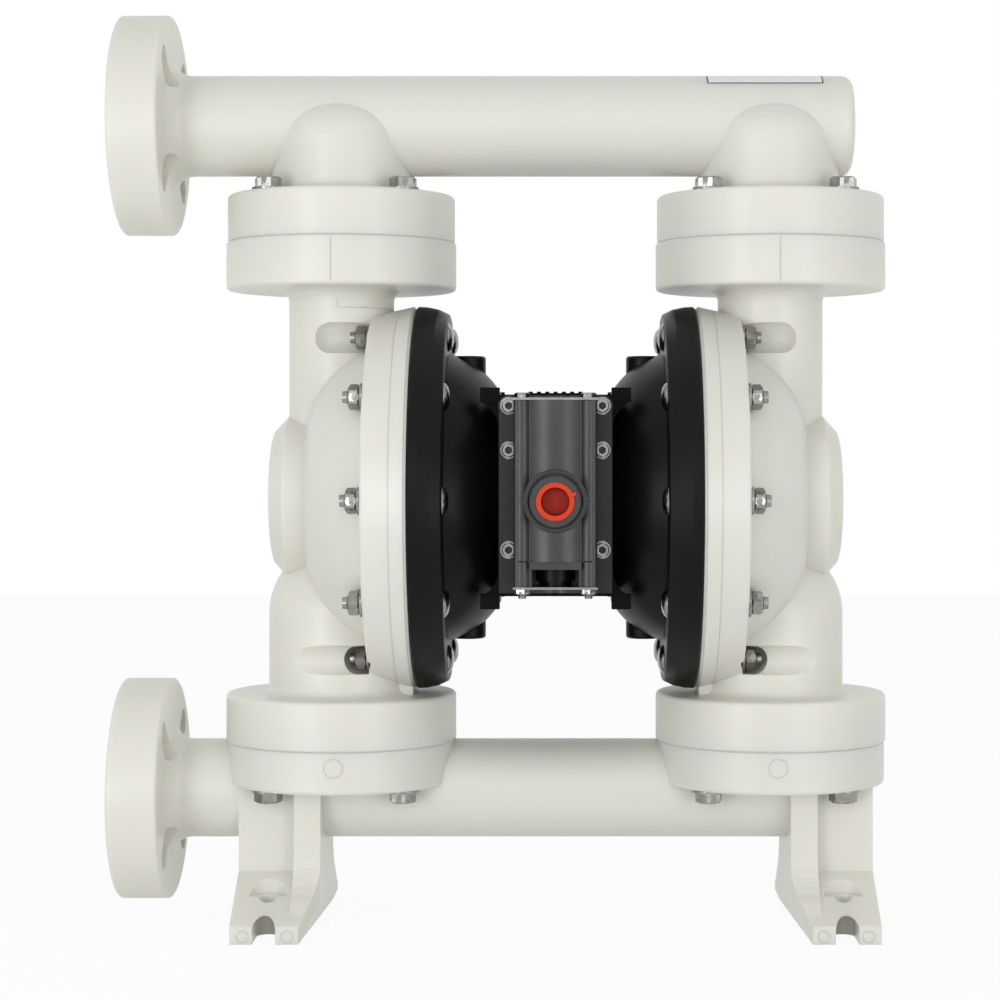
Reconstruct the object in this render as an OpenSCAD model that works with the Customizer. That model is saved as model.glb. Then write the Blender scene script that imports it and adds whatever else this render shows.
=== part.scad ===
// Air-operated double-diaphragm pump in polypropylene, with flanged side ports.
// The origin is on the floor under the middle of the air motor. +Z is up, the
// air inlet faces -Y, and the flanged ports face -X.

/* [Layout] */
// Height of the inlet pipe's axis above the floor
inlet_pipe_h = 101; // [98:0.5:112]
// Rise from the inlet pipe's axis to the inlet joint
inlet_joint_rise = 37; // [36.8:0.1:40]
// Height of the diaphragm axis above the inlet joint
inlet_drop = 182.5; // [180:0.5:200]
// Height of the outlet joint above the diaphragm axis
outlet_rise = 191.5; // [188:0.5:210]
// Rise from the outlet joint to the outlet pipe's axis
outlet_pipe_rise = 89; // [86:0.5:100]
// Distance of each liquid column from the middle of the pump
column_x = 162; // [160:0.5:170]

/* [Ports] */
// Bore of both pipes
port_bore = 53; // [40:0.5:54]
// Outer diameter of the port flanges
flange_d = 165; // [150:0.5:185]
// Thickness of the port flanges
flange_t = 37; // [20:0.5:45]
// Bolt circle of the port flanges
flange_pcd = 125; // [118:0.5:127]
// Diameter of the four bolt holes in a port flange
flange_hole_d = 18; // [14:0.5:19]
// Width of the slotted spot face behind each flange hole
spot_face_w = 20; // [18:0.5:22]
// Distance of the spot face's inner end from the pipe's axis
spot_face_in = 49; // [48:0.5:54]
// Depth of that spot face
spot_face_t = 8; // [1:0.5:12]
// Distance from the left column to the face of the port flanges
port_reach = 164; // [155:0.5:200]
// Radius of the fillet where a pipe leaves its flange
hub_fillet = 15; // [5:0.5:20]

/* [Pipes] */
// Outer diameter of the outlet pipe
outlet_pipe_d = 75.5; // [66:0.5:80]
// Outer diameter of the inlet pipe
inlet_pipe_d = 73.6; // [70:0.1:73.8]
// Distance from the right column to the outlet pipe's closed end
outlet_end_reach = 61; // [56:0.5:90]
// Distance from the right column to the inlet pipe's closed end
inlet_end_reach = 34; // [28:0.5:60]
// Thickness of the closed end of a pipe
pipe_end_t = 14; // [6:0.5:20]

/* [Joint discs] */
// Diameter of the discs on the manifolds
manifold_disc_d = 171; // [166:0.5:180]
// Diameter of the discs on the liquid caps
cap_disc_d = 173; // [168:0.5:180]
// Thickness of the outlet manifold's discs
outlet_disc_t = 35.4; // [28:0.1:40]
// Thickness of the inlet manifold's discs
inlet_disc_t = 31.4; // [28:0.1:34]
// Thickness of the liquid caps' discs
cap_disc_t = 35.8; // [32:0.1:40]
// Bolt circle of each joint
joint_pcd = 140; // [136:0.5:144]
// Thread diameter of the joint bolts
joint_bolt_d = 12; // [10:0.5:12.5]
// Rounding of the discs' edges
disc_edge = 3; // [1:0.5:5]

/* [Liquid columns] */
// Diameter of the outlet ball chambers that bulge through the outlet pipe
chamber_d = 104.5; // [98:0.5:110]
// Height of the straight part of that chamber above the joint
chamber_h = 76.8; // [72:0.2:82]
// Height of the chamber's domed crown
chamber_crown = 34; // [28:0.1:38]
// Diameter of the liquid cap's upper column
upper_column_d = 79; // [70:0.5:82]
// Diameter of the passage up through it
upper_passage_d = 46; // [36:0.5:48]
// Diameter of the liquid cap's lower column
lower_column_d = 109; // [100:0.5:112]
// Height of the lower column's domed top below the diaphragm axis
lower_crown_drop = 87; // [84:0.5:92]

/* [Check valves] */
// Diameter of the balls
ball_d = 52; // [48:0.5:52]
// How far a ball lifts off its seat
ball_lift = 14; // [8:0.5:16]
// Outer diameter of the seat rings
seat_d = 68; // [64:0.5:70]
// Bore of the seat rings
seat_bore = 41; // [34:0.5:42]
// Angle at the ball's centre between straight down and the sealing line
seat_angle = 58; // [55:1:60]
// Depth of the seat ring below the joint
seat_down = 7; // [6:0.5:9]
// Height of the seat ring above the joint
seat_up = 7; // [5:0.5:8]
// Gap that a ball leaves to its seat at rest
ball_gap = 0.3; // [0.1:0.1:0.5]

/* [Diaphragm joint] */
// Distance of the diaphragm joint from the middle of the pump
joint_x = 104.4; // [104:0.1:106]
// Diameter of the liquid and air caps
cap_d = 287.5; // [284:0.5:296]
// Thickness of the liquid cap's flange
cap_flange_t = 33.1; // [28:0.1:36]
// Thickness of the air cap's flange
air_flange_t = 24.6; // [20:0.1:26]
// Distance of those bolts' centres inside the caps' rim
cap_bolt_in = 18.75; // [16:0.05:20]
// Number of bolts on each diaphragm joint
cap_bolts = 10; // [10:2:10]
// Thread diameter of those bolts
cap_bolt_d = 10; // [8:0.5:10.5]
// Diameter of the diaphragms
diaphragm_d = 234; // [228:0.5:235]
// Thickness of the diaphragms
diaphragm_t = 3; // [2:0.1:4]
// Travel of the diaphragms each way from the middle
stroke = 19; // [8:0.5:20]

/* [Liquid cap] */
// Wall of the liquid cap's dome
dome_wall = 12; // [8:0.5:14]
// Radius of the dome's rounded shoulder
dome_r = 71.2; // [70:0.1:73]
// Distance of that shoulder's centre inside the bolt circle
dome_bolt_in = 77; // [75:0.5:79]
// Distance of that shoulder's centre outside the diaphragm joint
dome_in = 11.5; // [10:0.5:13]
// Diameter of the round nose
nose_d = 110.6; // [104:0.2:116]
// Distance of the nose's face from the diaphragm joint
nose_reach = 107.6; // [104:0.2:116]
// Diameter of the pockets round the nuts
nut_pocket_d = 22.8; // [21:0.2:24]

/* [Air cap] */
// Distance of the air cap's flat back from the middle of the pump
air_cap_x = 41.6; // [41:0.1:42.5]
// Radius of the air cap's rounded shoulder
air_dome_r = 63.7; // [62:0.1:65]
// Distance of that shoulder's centre inside the bolt circle
air_dome_bolt_in = 78.4; // [77:0.1:79]
// Distance of that shoulder's centre inside the diaphragm joint
air_dome_in = 7.8; // [7:0.1:9]
// Wall of the air cap's dome
air_wall = 8; // [6:0.5:10]
// Diameter of the round bosses on the air cap
boss_d = 27; // [20:0.5:32]
// Height of those bosses above the diaphragm axis
boss_h = 106.5; // [104:0.5:110]
// Distance of those bosses from the middle of the pump
boss_x = 66.5; // [65:0.5:68]

/* [Air motor] */
// Depth of the motor body in front of the axis
body_front = 80; // [78:0.5:90]
// Depth of the motor body behind the axis
body_back = 85; // [72:0.5:100]
// Height of the motor body above the axis
body_top = 76; // [75:0.5:80]
// Depth of the motor body below the axis
body_bottom = 70; // [68:0.5:76]
// Diameter of the diaphragm rod
rod_d = 22; // [18:0.5:24]
// Diameter of the pilot rod
pilot_d = 10; // [8:0.5:11]
// Height of the pilot rod above the diaphragm axis
pilot_rise = 27; // [26:0.5:27]
// Travel of the pilot rod each way
pilot_stroke = 8; // [4:0.5:8]

/* [Air valve] */
// Width of the valve block
valve_w = 57.6; // [56:0.2:60]
// Height of the top of the valve block above the diaphragm axis
valve_top = 71; // [68:0.5:74]
// Depth of the underside of the end cap below the diaphragm axis
valve_bottom = 60.5; // [59:0.5:66]
// Height of the end cap under the valve block
end_cap_h = 18; // [17:0.1:20]
// Distance from the motor body's face to the front of the valve's ribs
valve_depth = 52; // [50:0.5:56]
// Thickness of the valve block's mounting flange
valve_flange_t = 12; // [10:0.5:14]
// Diameter of the valve spool
spool_d = 20; // [16:0.5:22]
// Travel of the valve spool
spool_stroke = 12; // [6:0.5:12]
// Diameter of the air inlet boss
inlet_boss_d = 34.8; // [33:0.2:38]
// Bore of the air inlet
inlet_bore = 24.4; // [20:0.1:25]
// Bore of the threaded stretch behind the plug
inlet_thread_bore = 23.8; // [20:0.1:24.4]
// Thickness of the stainless end plates
plate_t = 1.6; // [1:0.1:2.5]
// Thread diameter of the valve's screws and tie bolts
valve_screw_d = 6; // [5:0.5:6.5]

/* [Feet] */
// Height of the front edge of a foot
foot_edge_h = 13; // [10:0.5:16]
// Height of the top of a foot's ramp
foot_ramp_h = 44; // [38:0.5:50]
// Half of the depth of a foot
foot_half_y = 87; // [84:0.5:100]
// Width of the bolt slots
foot_slot_w = 17; // [14:0.5:18]
// Distance of the slots' closed ends from the middle
foot_slot_end = 50; // [48:0.5:56]
// Height of the round roof over those slots
foot_slot_top = 19; // [16:0.5:22]
// Height of the bolt's seat above the floor
foot_seat_h = 29.6; // [26:0.2:32]
// Diameter of the bolt holes in the feet
foot_hole_d = 14; // [12:0.5:16]
// Distance of the slots outside the liquid column
foot_slot_out = 48.4; // [46:0.2:50]

/* [Hidden] */
$fn = 96;

// Heights of the joints and of the diaphragm axis
inlet_joint_h = inlet_pipe_h + inlet_joint_rise;
axis_h = inlet_joint_h + inlet_drop;
outlet_joint_h = axis_h + outlet_rise;

// Clearances: sliding fits, parts dropped in, and bolts through holes
slide_fit = 0.05;
drop_fit = 0.2;
bolt_fit = 0.5;

// Standard hardware, as shares of the thread diameter
hex_across_flats = 1.5;
hex_head_h = 0.64;
hex_nut_h = 0.83;
socket_head_d = 1.67;

// The faces of the port flanges and the closed ends of the pipes
port_x = -(column_x + port_reach);
flange_back_x = port_x + flange_t;
outlet_end_x = column_x + outlet_end_reach;
inlet_end_x = column_x + inlet_end_reach;
flange_edge = 2.4;
cap_edge = 2.5;
cap_draft = 6.4;
pipe_end_edge = 8;

// The washers and inserts of the manifold joints
joint_washer_d = 24;
joint_washer_t = 2;
insert_d = 16;
insert_l = 20;
joint_bolt_overrun = 2;
seal_cord = 3.6;
seal_ring_d = seat_d + 9;

// A ball's height over its joint: it lies in the seat's cone
contact_r = ball_d / 2 * sin(seat_angle);
contact_h = seat_up - (seat_mouth_r() - contact_r) * tan(seat_angle);
ball_h = contact_h + ball_d / 2 * cos(seat_angle) + ball_gap / cos(seat_angle);
ball_top_h = ball_h + ball_d / 2 + ball_lift;
cage_d = ball_d + 3;
stop_gap = 0.5;
function seat_mouth_r() = ball_d / 2 * sin(seat_angle) + 2;

// The outside of the liquid cap, measured from the middle of the pump
cap_face_x = joint_x + cap_flange_t;
nose_x = joint_x + nose_reach;
nose_edge = 6;
nose_flare = 6.7;
nose_draft_l = 11.5;
nose_wall = 12;
dome_x = joint_x + dome_in;
air_flange_x = joint_x - air_flange_t;
air_dome_x = joint_x - air_dome_in;

// The diaphragm joint's bolt circle, and the shoulders that follow it
cap_pcd = cap_d - 2 * cap_bolt_in;
dome_off = cap_pcd / 2 - dome_bolt_in;
air_dome_off = cap_pcd / 2 - air_dome_bolt_in;
fold_clear = 4.2;
fold_out_r = dome_off + dome_r - dome_wall - fold_clear;

// The stack on each end of the diaphragm rod
washer_r = 48;
inner_washer_t = 10;
outer_washer_t = 10;
rod_thread_d = 16;
rod_nut_t = 13;
rod_shoulder_x = joint_x - diaphragm_t - inner_washer_t;
rod_nut_x = joint_x + outer_washer_t;
rod_end_x = rod_nut_x + rod_nut_t + 3.6;
air_floor_x = rod_shoulder_x - stroke - 12;
pilot_end_x = rod_shoulder_x - stroke + pilot_stroke - 0.4;

// Bushes and seals in the motor body
bush_wall = 3;
bush_l = 20;
seal_l = 4;
hub_r = 38;
hub_x = air_floor_x - 1;

// The nuts, washers and heads of the diaphragm joint
cap_washer_d = 20;
cap_washer_t = 2;
cap_head_d = 2.1 * cap_bolt_d;
cap_head_h = 0.45 * cap_bolt_d;
cap_bolt_end_x = cap_face_x + cap_washer_t + hex_nut_h * cap_bolt_d + 4.2;

// The valve's planes, from the motor body's front face forward
gasket_t = 1.5;
valve_back_y = -(body_front + gasket_t);
valve_flange_y = valve_back_y - valve_flange_t;
valve_front_y = -(body_front + valve_depth);
spool_y = valve_back_y - 24.5;
sleeve_r = spool_d / 2 + 6;
end_joint_z = -(valve_bottom - end_cap_h);
panel_half_w = 16.5;
flank_in = 0.8;
panel_bulge = 4.5;
rib_r = 2.1;
small_rib_r = 1.2;
small_rib_x = 21.6;
boss_face_y = valve_front_y - 20;
valve_flange_half_w = 40.6;
flange_low_z = -67;
collar_r = 22.5;
valve_screw_x = 33.5;
valve_screw_z = [67.4, 35.6, -35.7];
valve_washer_d = 13;
valve_washer_t = 1.2;
tie_x = 23.6;
end_plug_r = 14;
thread_l = 15;
air_way_r = 8;
plug_l = 12;

// The feet, measured outward from the liquid column
foot_in = 11.4;
foot_out = 73;
web_out = 31;
web_half_y = 48;
web_sweep_r = 40;
web_sweep_h = 62;
foot_wall_half_y = 37;
foot_spot_r = 14;
foot_front_in = 23.5;
foot_back_in = 15;
foot_lean = 23.6;

// Points of an arc in a revolved outline, from angle a to angle b
function arc(c, r, a, b, n = 6) = [for (i = [0:n])
    c + r * [cos(a + (b - a) * i / n), sin(a + (b - a) * i / n)]];

// Points of a quarter of an ellipse, from its rim up to its crown
function crown(r, base, rise, n = 9) = [for (i = [0:n])
    [r * cos(90 * i / n), base + rise * sin(90 * i / n)]];

// Revolves an outline of [radius, x] points about the X axis
module spin_x() {
    rotate([0, 90, 0]) rotate_extrude() children();
}

// Round bars along each axis, from a to b
module bar_x(r, a, b) {
    translate([a, 0, 0]) rotate([0, 90, 0]) cylinder(r = r, h = b - a);
}

module bar_y(r, a, b) {
    translate([0, a, 0]) rotate([-90, 0, 0]) cylinder(r = r, h = b - a);
}

module bar_z(r, a, b) {
    translate([0, 0, a]) cylinder(r = r, h = b - a);
}

// A flat ring about the X axis
module ring_x(r_out, r_in, a, b) {
    difference() {
        bar_x(r_out, a, b);
        bar_x(r_in, a - 1, b + 1);
    }
}

// A hexagon across flats f about the X or Z axis
module hex_x(f, a, b) {
    translate([a, 0, 0]) rotate([0, 90, 0]) cylinder(r = f / sqrt(3), h = b - a, $fn = 6);
}

module hex_z(f, a, b) {
    translate([0, 0, a]) cylinder(r = f / sqrt(3), h = b - a, $fn = 6);
}

// Places at the diaphragm axis, at both columns, and round the bolt circles
module at_axis() {
    translate([0, 0, axis_h]) children();
}

module at_columns(h) {
    for (side = [-1, 1]) translate([side * column_x, 0, h]) children();
}

module at_joint_bolts() {
    for (a = [45:90:315]) rotate([0, 0, a]) translate([joint_pcd / 2, 0, 0]) children();
}

module at_cap_bolts() {
    for (i = [0:cap_bolts - 1])
        rotate([i * 360 / cap_bolts, 0, 0]) translate([0, -cap_pcd / 2, 0]) children();
}

// The outline of a disc with rounded edges, from height a to height b
function disc_outline(r, a, b) = concat(
    [[0, a]], arc([r - disc_edge, a + disc_edge], disc_edge, -90, 0, 4),
    [[r, b - 1], [r - 1, b], [0, b]]);

// A pipe about the X axis with its flange at the -X end, its bore left solid
module flanged_pipe(d, end_x) {
    r = d / 2;
    f = flange_d / 2;
    spin_x() polygon(concat(
        [[0, port_x]],
        arc([f - flange_edge, port_x + flange_edge], flange_edge, -90, 0, 4),
        arc([f - flange_edge, flange_back_x - flange_edge], flange_edge, 0, 90, 4),
        arc([r + hub_fillet, flange_back_x + hub_fillet], hub_fillet, -90, -180, 6),
        arc([r - pipe_end_edge, end_x - pipe_end_edge], pipe_end_edge, 0, 90, 5),
        [[0, end_x]]));
}

// What is cut from such a pipe: its bore, the flange's holes and spot faces
module pipe_cuts(end_x) {
    bar_x(port_bore / 2, port_x - 1, end_x - pipe_end_t);
    for (a = [45:90:315]) rotate([a, 0, 0]) translate([0, flange_pcd / 2, 0]) {
        bar_x(flange_hole_d / 2, port_x - 1, flange_back_x + 1);
        translate([flange_back_x - spot_face_t, spot_face_in - flange_pcd / 2, -spot_face_w / 2])
            cube([spot_face_t + hub_fillet, flange_pcd / 2 - spot_face_in, spot_face_w]);
        bar_x(spot_face_w / 2, flange_back_x - spot_face_t, flange_back_x + hub_fillet);
        translate([0, spot_face_in - flange_pcd / 2, 0])
            bar_x(spot_face_w / 2, flange_back_x - spot_face_t, flange_back_x + hub_fillet);
    }
}

// Four ribs that guide or stop a ball, inside radius r and outside radius r_in
module ball_ribs(r_in, r, a, b) {
    for (q = [0:90:270]) rotate([0, 0, q])
        translate([r_in, -2.5, a]) cube([r - r_in, 5, b - a]);
}

// The outlet ball chamber's hollow, over a joint at height 0
module outlet_chamber_hollow() {
    r = chamber_d / 2 - 12;
    difference() {
        rotate_extrude() polygon(concat(
            [[0, seat_up]], [[r, seat_up]], crown(r, chamber_h, chamber_crown - 9), [[0, chamber_h]]));
        ball_ribs(cage_d / 2, r + 1, seat_up - 1, ball_top_h + 8);
        ball_ribs(12, r + 1, ball_top_h + stop_gap, ball_top_h + 8);
    }
    bar_z(seat_d / 2 + drop_fit, -1, seat_up);
}

module outlet_manifold() {
    color([0.88, 0.88, 0.83]) difference() {
        union() {
            translate([0, 0, outlet_joint_h + outlet_pipe_rise])
                flanged_pipe(outlet_pipe_d, outlet_end_x);
            at_columns(outlet_joint_h) {
                mirror([0, 0, 1]) rotate_extrude()
                    polygon(disc_outline(manifold_disc_d / 2, -outlet_disc_t, 0));
                rotate_extrude() polygon(concat(
                    [[0, 1]], arc([chamber_d / 2 + 5, outlet_disc_t + 5], 5, -90, -180, 4),
                    crown(chamber_d / 2, chamber_h, chamber_crown)));
            }
        }
        translate([0, 0, outlet_joint_h + outlet_pipe_rise]) pipe_cuts(outlet_end_x);
        at_columns(outlet_joint_h) {
            outlet_chamber_hollow();
            at_joint_bolts() bar_z(joint_bolt_d / 2 + bolt_fit, -1, outlet_disc_t + 1);
        }
    }
}

// One foot on the +X side, measured from the column; wall_h is the top of its wall
module foot(wall_h) {
    difference() {
        union() {
            translate([foot_in, 0, 0]) rotate([90, 0, 90])
                linear_extrude(foot_out - foot_in) polygon([
                    [-foot_half_y, 0], [foot_half_y, 0], [foot_half_y, foot_edge_h],
                    [foot_wall_half_y, foot_ramp_h], [-foot_wall_half_y, foot_ramp_h],
                    [-foot_half_y, foot_edge_h]]);
            translate([web_out - 4, -foot_wall_half_y, 0])
                cube([foot_out - web_out + 4, 2 * foot_wall_half_y, wall_h]);
            foot_web();
        }
        for (side = [-1, 1]) translate([foot_slot_out, side * (foot_slot_end + foot_slot_w / 2), 0]) {
            foot_slot(side);
            bar_z(foot_hole_d / 2, foot_slot_top - 3, foot_seat_h + 1);
            bar_z(foot_spot_r, foot_seat_h, foot_ramp_h + 1);
        }
        foot_inner_cuts();
        translate([foot_in + 16, -foot_slot_end + 14, -1])
            cube([foot_out - foot_in - 27, 2 * foot_slot_end - 28, foot_ramp_h - 8]);
    }
}

// A slot with a round roof, open at the foot's edge and below, from its inner end
module foot_slot(side) {
    r = foot_slot_w / 2;
    intersection() {
        union() {
            bar_z(r, -1, foot_slot_top + 1);
            translate([-r, side > 0 ? 0 : -foot_half_y, -1])
                cube([2 * r, foot_half_y, foot_slot_top + 2]);
        }
        rotate([90, 0, 0]) translate([0, 0, -foot_half_y]) linear_extrude(2 * foot_half_y) union() {
            translate([-r, -1]) square([2 * r, foot_slot_top - r + 1]);
            translate([0, foot_slot_top - r]) circle(r = r);
        }
    }
}

// The foot narrows towards its front corner, and its inner face leans outward
// towards the floor
module foot_inner_cuts() {
    translate([0, 0, -1]) linear_extrude(web_sweep_h + 1) polygon([
        [0, -foot_half_y - 1], [foot_front_in + 0.4, -foot_half_y - 1],
        [foot_in, -web_half_y - 4], [0, -web_half_y - 4]]);
    translate([foot_front_in, -foot_half_y, 0])
        rotate([0, 0, atan2(foot_front_in - foot_back_in, 2 * foot_half_y)])
        rotate([0, -foot_lean, 0]) translate([-80, -20, -30]) cube([80, 240, 110]);
}

// The foot's web: its front and back edges sweep out into the ramp
module foot_web() {
    top = inlet_joint_h - inlet_disc_t + 1;
    sweep = arc([web_half_y + web_sweep_r, web_sweep_h], web_sweep_r, 180, 240, 6);
    half = concat([[0, top], [web_half_y, top]], sweep,
        [[foot_half_y - 3, foot_edge_h], [foot_half_y - 3, 0], [0, 0]]);
    translate([foot_in, 0, 0]) rotate([90, 0, 90]) linear_extrude(web_out - foot_in) union() {
        polygon(half);
        mirror([1, 0]) polygon(half);
    }
}

module inlet_manifold() {
    color([0.88, 0.88, 0.83]) difference() {
        union() {
            translate([0, 0, inlet_pipe_h]) flanged_pipe(inlet_pipe_d, inlet_end_x);
            at_columns(inlet_joint_h) rotate_extrude()
                polygon(disc_outline(manifold_disc_d / 2, -inlet_disc_t, 0));
            translate([column_x, 0, 0]) foot(inlet_joint_h - inlet_disc_t + 1);
            mirror([1, 0, 0]) translate([column_x, 0, 0]) foot(inlet_pipe_h);
        }
        translate([0, 0, inlet_pipe_h]) pipe_cuts(inlet_end_x);
        at_columns(inlet_joint_h) {
            bar_z(port_bore / 2, -inlet_joint_rise, 1);
            bar_z(seat_d / 2 + drop_fit, -seat_down, 1);
            at_joint_bolts() bar_z(joint_bolt_d / 2 + bolt_fit, -inlet_disc_t - 9, 1);
        }
    }
}

// The liquid cap on the +X side, about the diaphragm axis, its hollows left solid
module fluid_cap_outside() {
    r = cap_d / 2;
    spin_x() union() {
        polygon(concat(
            [[0, joint_x], [r - 2, joint_x], [r - 1.2, joint_x + 1.6], [r, joint_x + 2.4]],
            arc([r - cap_draft - cap_edge, cap_face_x - cap_edge], cap_edge, 11, 90, 4),
            [[0, cap_face_x]]));
        intersection() {
            translate([dome_off, dome_x]) circle(r = dome_r);
            translate([0, joint_x + 2]) square([r, nose_reach]);
        }
        polygon(concat(
            [[0, joint_x + 2], [nose_d / 2 + nose_flare, joint_x + 2],
            [nose_d / 2 + nose_flare, nose_x - nose_draft_l]],
            arc([nose_d / 2 - 2 - nose_edge, nose_x - nose_edge], nose_edge, 35, 90, 5),
            [[0, nose_x]]));
    }
    translate([joint_x + 2, -30, cap_disc_t - inlet_drop - 1]) cube([cap_flange_t - 4, 60, 12]);
    translate([column_x, 0, 0]) {
        rotate_extrude() polygon(concat(
            [[0, 0], [upper_column_d / 2, 0]],
            arc([upper_column_d / 2 + 8, outlet_rise - cap_disc_t - 8], 8, 180, 90, 5),
            arc([cap_disc_d / 2 - disc_edge, outlet_rise - cap_disc_t + disc_edge], disc_edge, -90, 0, 4),
            [[cap_disc_d / 2, outlet_rise - 1], [cap_disc_d / 2 - 1, outlet_rise], [0, outlet_rise]]));
        translate([0, 0, -lower_crown_drop]) sphere(r = lower_column_d / 2);
        mirror([0, 0, 1]) rotate_extrude() polygon(concat(
            [[0, lower_crown_drop], [lower_column_d / 2, lower_crown_drop]],
            arc([lower_column_d / 2 + 6, inlet_drop - cap_disc_t - 6], 6, 180, 90, 4),
            arc([cap_disc_d / 2 - disc_edge, inlet_drop - cap_disc_t + disc_edge], disc_edge, -90, 0, 4),
            [[cap_disc_d / 2, inlet_drop - 1], [cap_disc_d / 2 - 1, inlet_drop], [0, inlet_drop]]));
    }
}

// The pump chamber and the passages through the columns
module fluid_cap_hollow() {
    inner_r = dome_r - dome_wall;
    spin_x() union() {
        intersection() {
            translate([dome_off, dome_x]) circle(r = inner_r);
            translate([0, joint_x - 1]) square([cap_d / 2, nose_reach]);
        }
        translate([0, joint_x - 1]) square([dome_off, dome_in + inner_r + 1]);
        translate([0, joint_x - 1]) square([nose_d / 2 - nose_wall, nose_reach + 1 - nose_wall]);
    }
    translate([column_x, 0, 0]) {
        bar_z(upper_passage_d / 2, dome_off + 10, outlet_rise);
        bar_z(seat_d / 2 + drop_fit, outlet_rise - seat_down, outlet_rise + 1);
        translate([0, 0, -inlet_drop]) {
            bar_z(seat_d / 2 + drop_fit, -1, seat_up);
            difference() {
                union() {
                    bar_z(cage_d / 2, seat_up - 1, inlet_drop - lower_crown_drop + 17);
                    for (q = [45:90:315]) rotate([0, 0, q]) translate([cage_d / 2 - 2.5, 0, 0])
                        bar_z(7, seat_up - 1, ball_top_h + 20);
                }
                ball_ribs(12, cage_d / 2 + 1, ball_top_h + stop_gap, ball_top_h + 10);
            }
        }
    }
}

module fluid_cap() {
    at_axis() difference() {
        fluid_cap_outside();
        fluid_cap_hollow();
        at_cap_bolts() bar_x(cap_bolt_d / 2 + bolt_fit, joint_x - 1, cap_face_x + 1);
        nut_pockets();
        translate([column_x, 0, 0]) {
            translate([0, 0, outlet_rise]) insert_holes();
            translate([0, 0, -inlet_drop]) mirror([0, 0, 1]) insert_holes();
            for (h = [outlet_rise - seal_cord, -inlet_drop]) translate([0, 0, h]) seal_groove();
        }
    }
}

// Pockets that clear the nuts: long ones beside the upper column, open ones beside
// the lower column
module nut_pockets() {
    for (i = [0:cap_bolts - 1]) {
        a = i * 360 / cap_bolts;
        up = -sin(a);
        reach = up > 0.9 ? 30 : 8;
        if (up < -0.9) translate([0, -cos(a) * cap_pcd / 2, up * cap_pcd / 2])
            low_nut_pocket(cos(a) > 0 ? -1 : 1);
        rotate([a, 0, 0]) translate([0, -cap_pcd / 2, 0]) {
            bar_x(nut_pocket_d / 2, cap_face_x, cap_face_x + reach);
            translate([cap_face_x + reach, 0, 0]) sphere(r = nut_pocket_d / 2);
        }
    }
}

// The pocket of a nut beside the lower column, open to the front (-1) or back (1),
// with a shallow scoop along the column's side
module low_nut_pocket(way) {
    r = nut_pocket_d / 2;
    mouth_r = r - 0.8;
    translate([cap_face_x, way > 0 ? 0 : -30, -mouth_r]) cube([8, 30, 2 * mouth_r]);
    translate([cap_face_x + 8, 0, 0]) bar_y(mouth_r, way > 0 ? 0 : -30, way > 0 ? 30 : 0);
    translate([0, way * 17.4, 0.2]) {
        bar_x(r - 0.4, cap_face_x, cap_face_x + 50);
        translate([cap_face_x + 50, 0, 0]) sphere(r = r - 0.4);
    }
}

// Blind holes for the threaded inserts, from a joint at height 0 downward
module insert_holes() {
    at_joint_bolts() {
        bar_z(insert_d / 2, -insert_l, 1);
        bar_z(joint_bolt_d / 2 + bolt_fit, -insert_l - joint_bolt_overrun - 2, 1);
    }
}

module seal_groove() {
    difference() {
        bar_z(seal_ring_d / 2 + seal_cord / 2 + 0.2, 0, seal_cord);
        bar_z(seal_ring_d / 2 - seal_cord / 2 - 0.2, -1, seal_cord + 1);
    }
}

module fluid_cap_right() {
    color([0.88, 0.88, 0.83]) fluid_cap();
}

module fluid_cap_left() {
    color([0.88, 0.88, 0.83]) mirror([1, 0, 0]) fluid_cap();
}

// The air cap on the +X side: a dished black moulding with a bolting flange
module air_cap() {
    r = cap_d / 2;
    at_axis() difference() {
        union() {
            spin_x() union() {
                polygon(concat(
                    [[0, air_flange_x]],
                    arc([r - 7.5, air_flange_x + 2.5], 2.5, -90, -15, 4),
                    [[r - 2.1, air_flange_x + 8], [r - 0.3, joint_x - 8],
                    [r, joint_x - 1.5], [r - 1.5, joint_x], [0, joint_x]]));
                intersection() {
                    translate([air_dome_off, air_dome_x]) circle(r = air_dome_r);
                    translate([0, air_cap_x]) square([r, joint_x - air_cap_x]);
                }
                translate([0, air_cap_x]) square([air_dome_off, joint_x - air_cap_x]);
            }
            for (side = [0, 1]) mirror([0, 0, side]) translate([boss_x, 0, 0]) rotate_extrude()
                polygon(concat([[0, hub_r + 22], [boss_d / 2, hub_r + 22]],
                    arc([boss_d / 2 - 2, boss_h - 2], 2, 0, 90, 3), [[0, boss_h]]));
        }
        spin_x() union() {
            intersection() {
                translate([air_dome_off, air_dome_x]) circle(r = air_dome_r - air_wall);
                translate([0, air_floor_x]) square([r, joint_x + 1 - air_floor_x]);
            }
            translate([0, air_floor_x]) square([air_dome_off, joint_x + 1 - air_floor_x]);
            translate([0, joint_x - diaphragm_t]) square([diaphragm_d / 2 + drop_fit, diaphragm_t + 1]);
            translate([0, air_cap_x - 1]) square([hub_r + drop_fit, joint_x - air_cap_x]);
        }
        at_cap_bolts() bar_x(cap_bolt_d / 2 + bolt_fit, air_flange_x - 1, joint_x + 1);
        at_air_cap_screws() bar_x(valve_screw_d / 2 + bolt_fit, air_cap_x - 1, air_floor_x + 1);
    }
}

module at_air_cap_screws() {
    for (a = [0:60:300]) rotate([a, 0, 0]) translate([0, hub_r + 20, 0]) children();
}

module air_cap_right() {
    color([0.13, 0.13, 0.13]) air_cap();
}

module air_cap_left() {
    color([0.13, 0.13, 0.13]) mirror([1, 0, 0]) air_cap();
}

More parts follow.
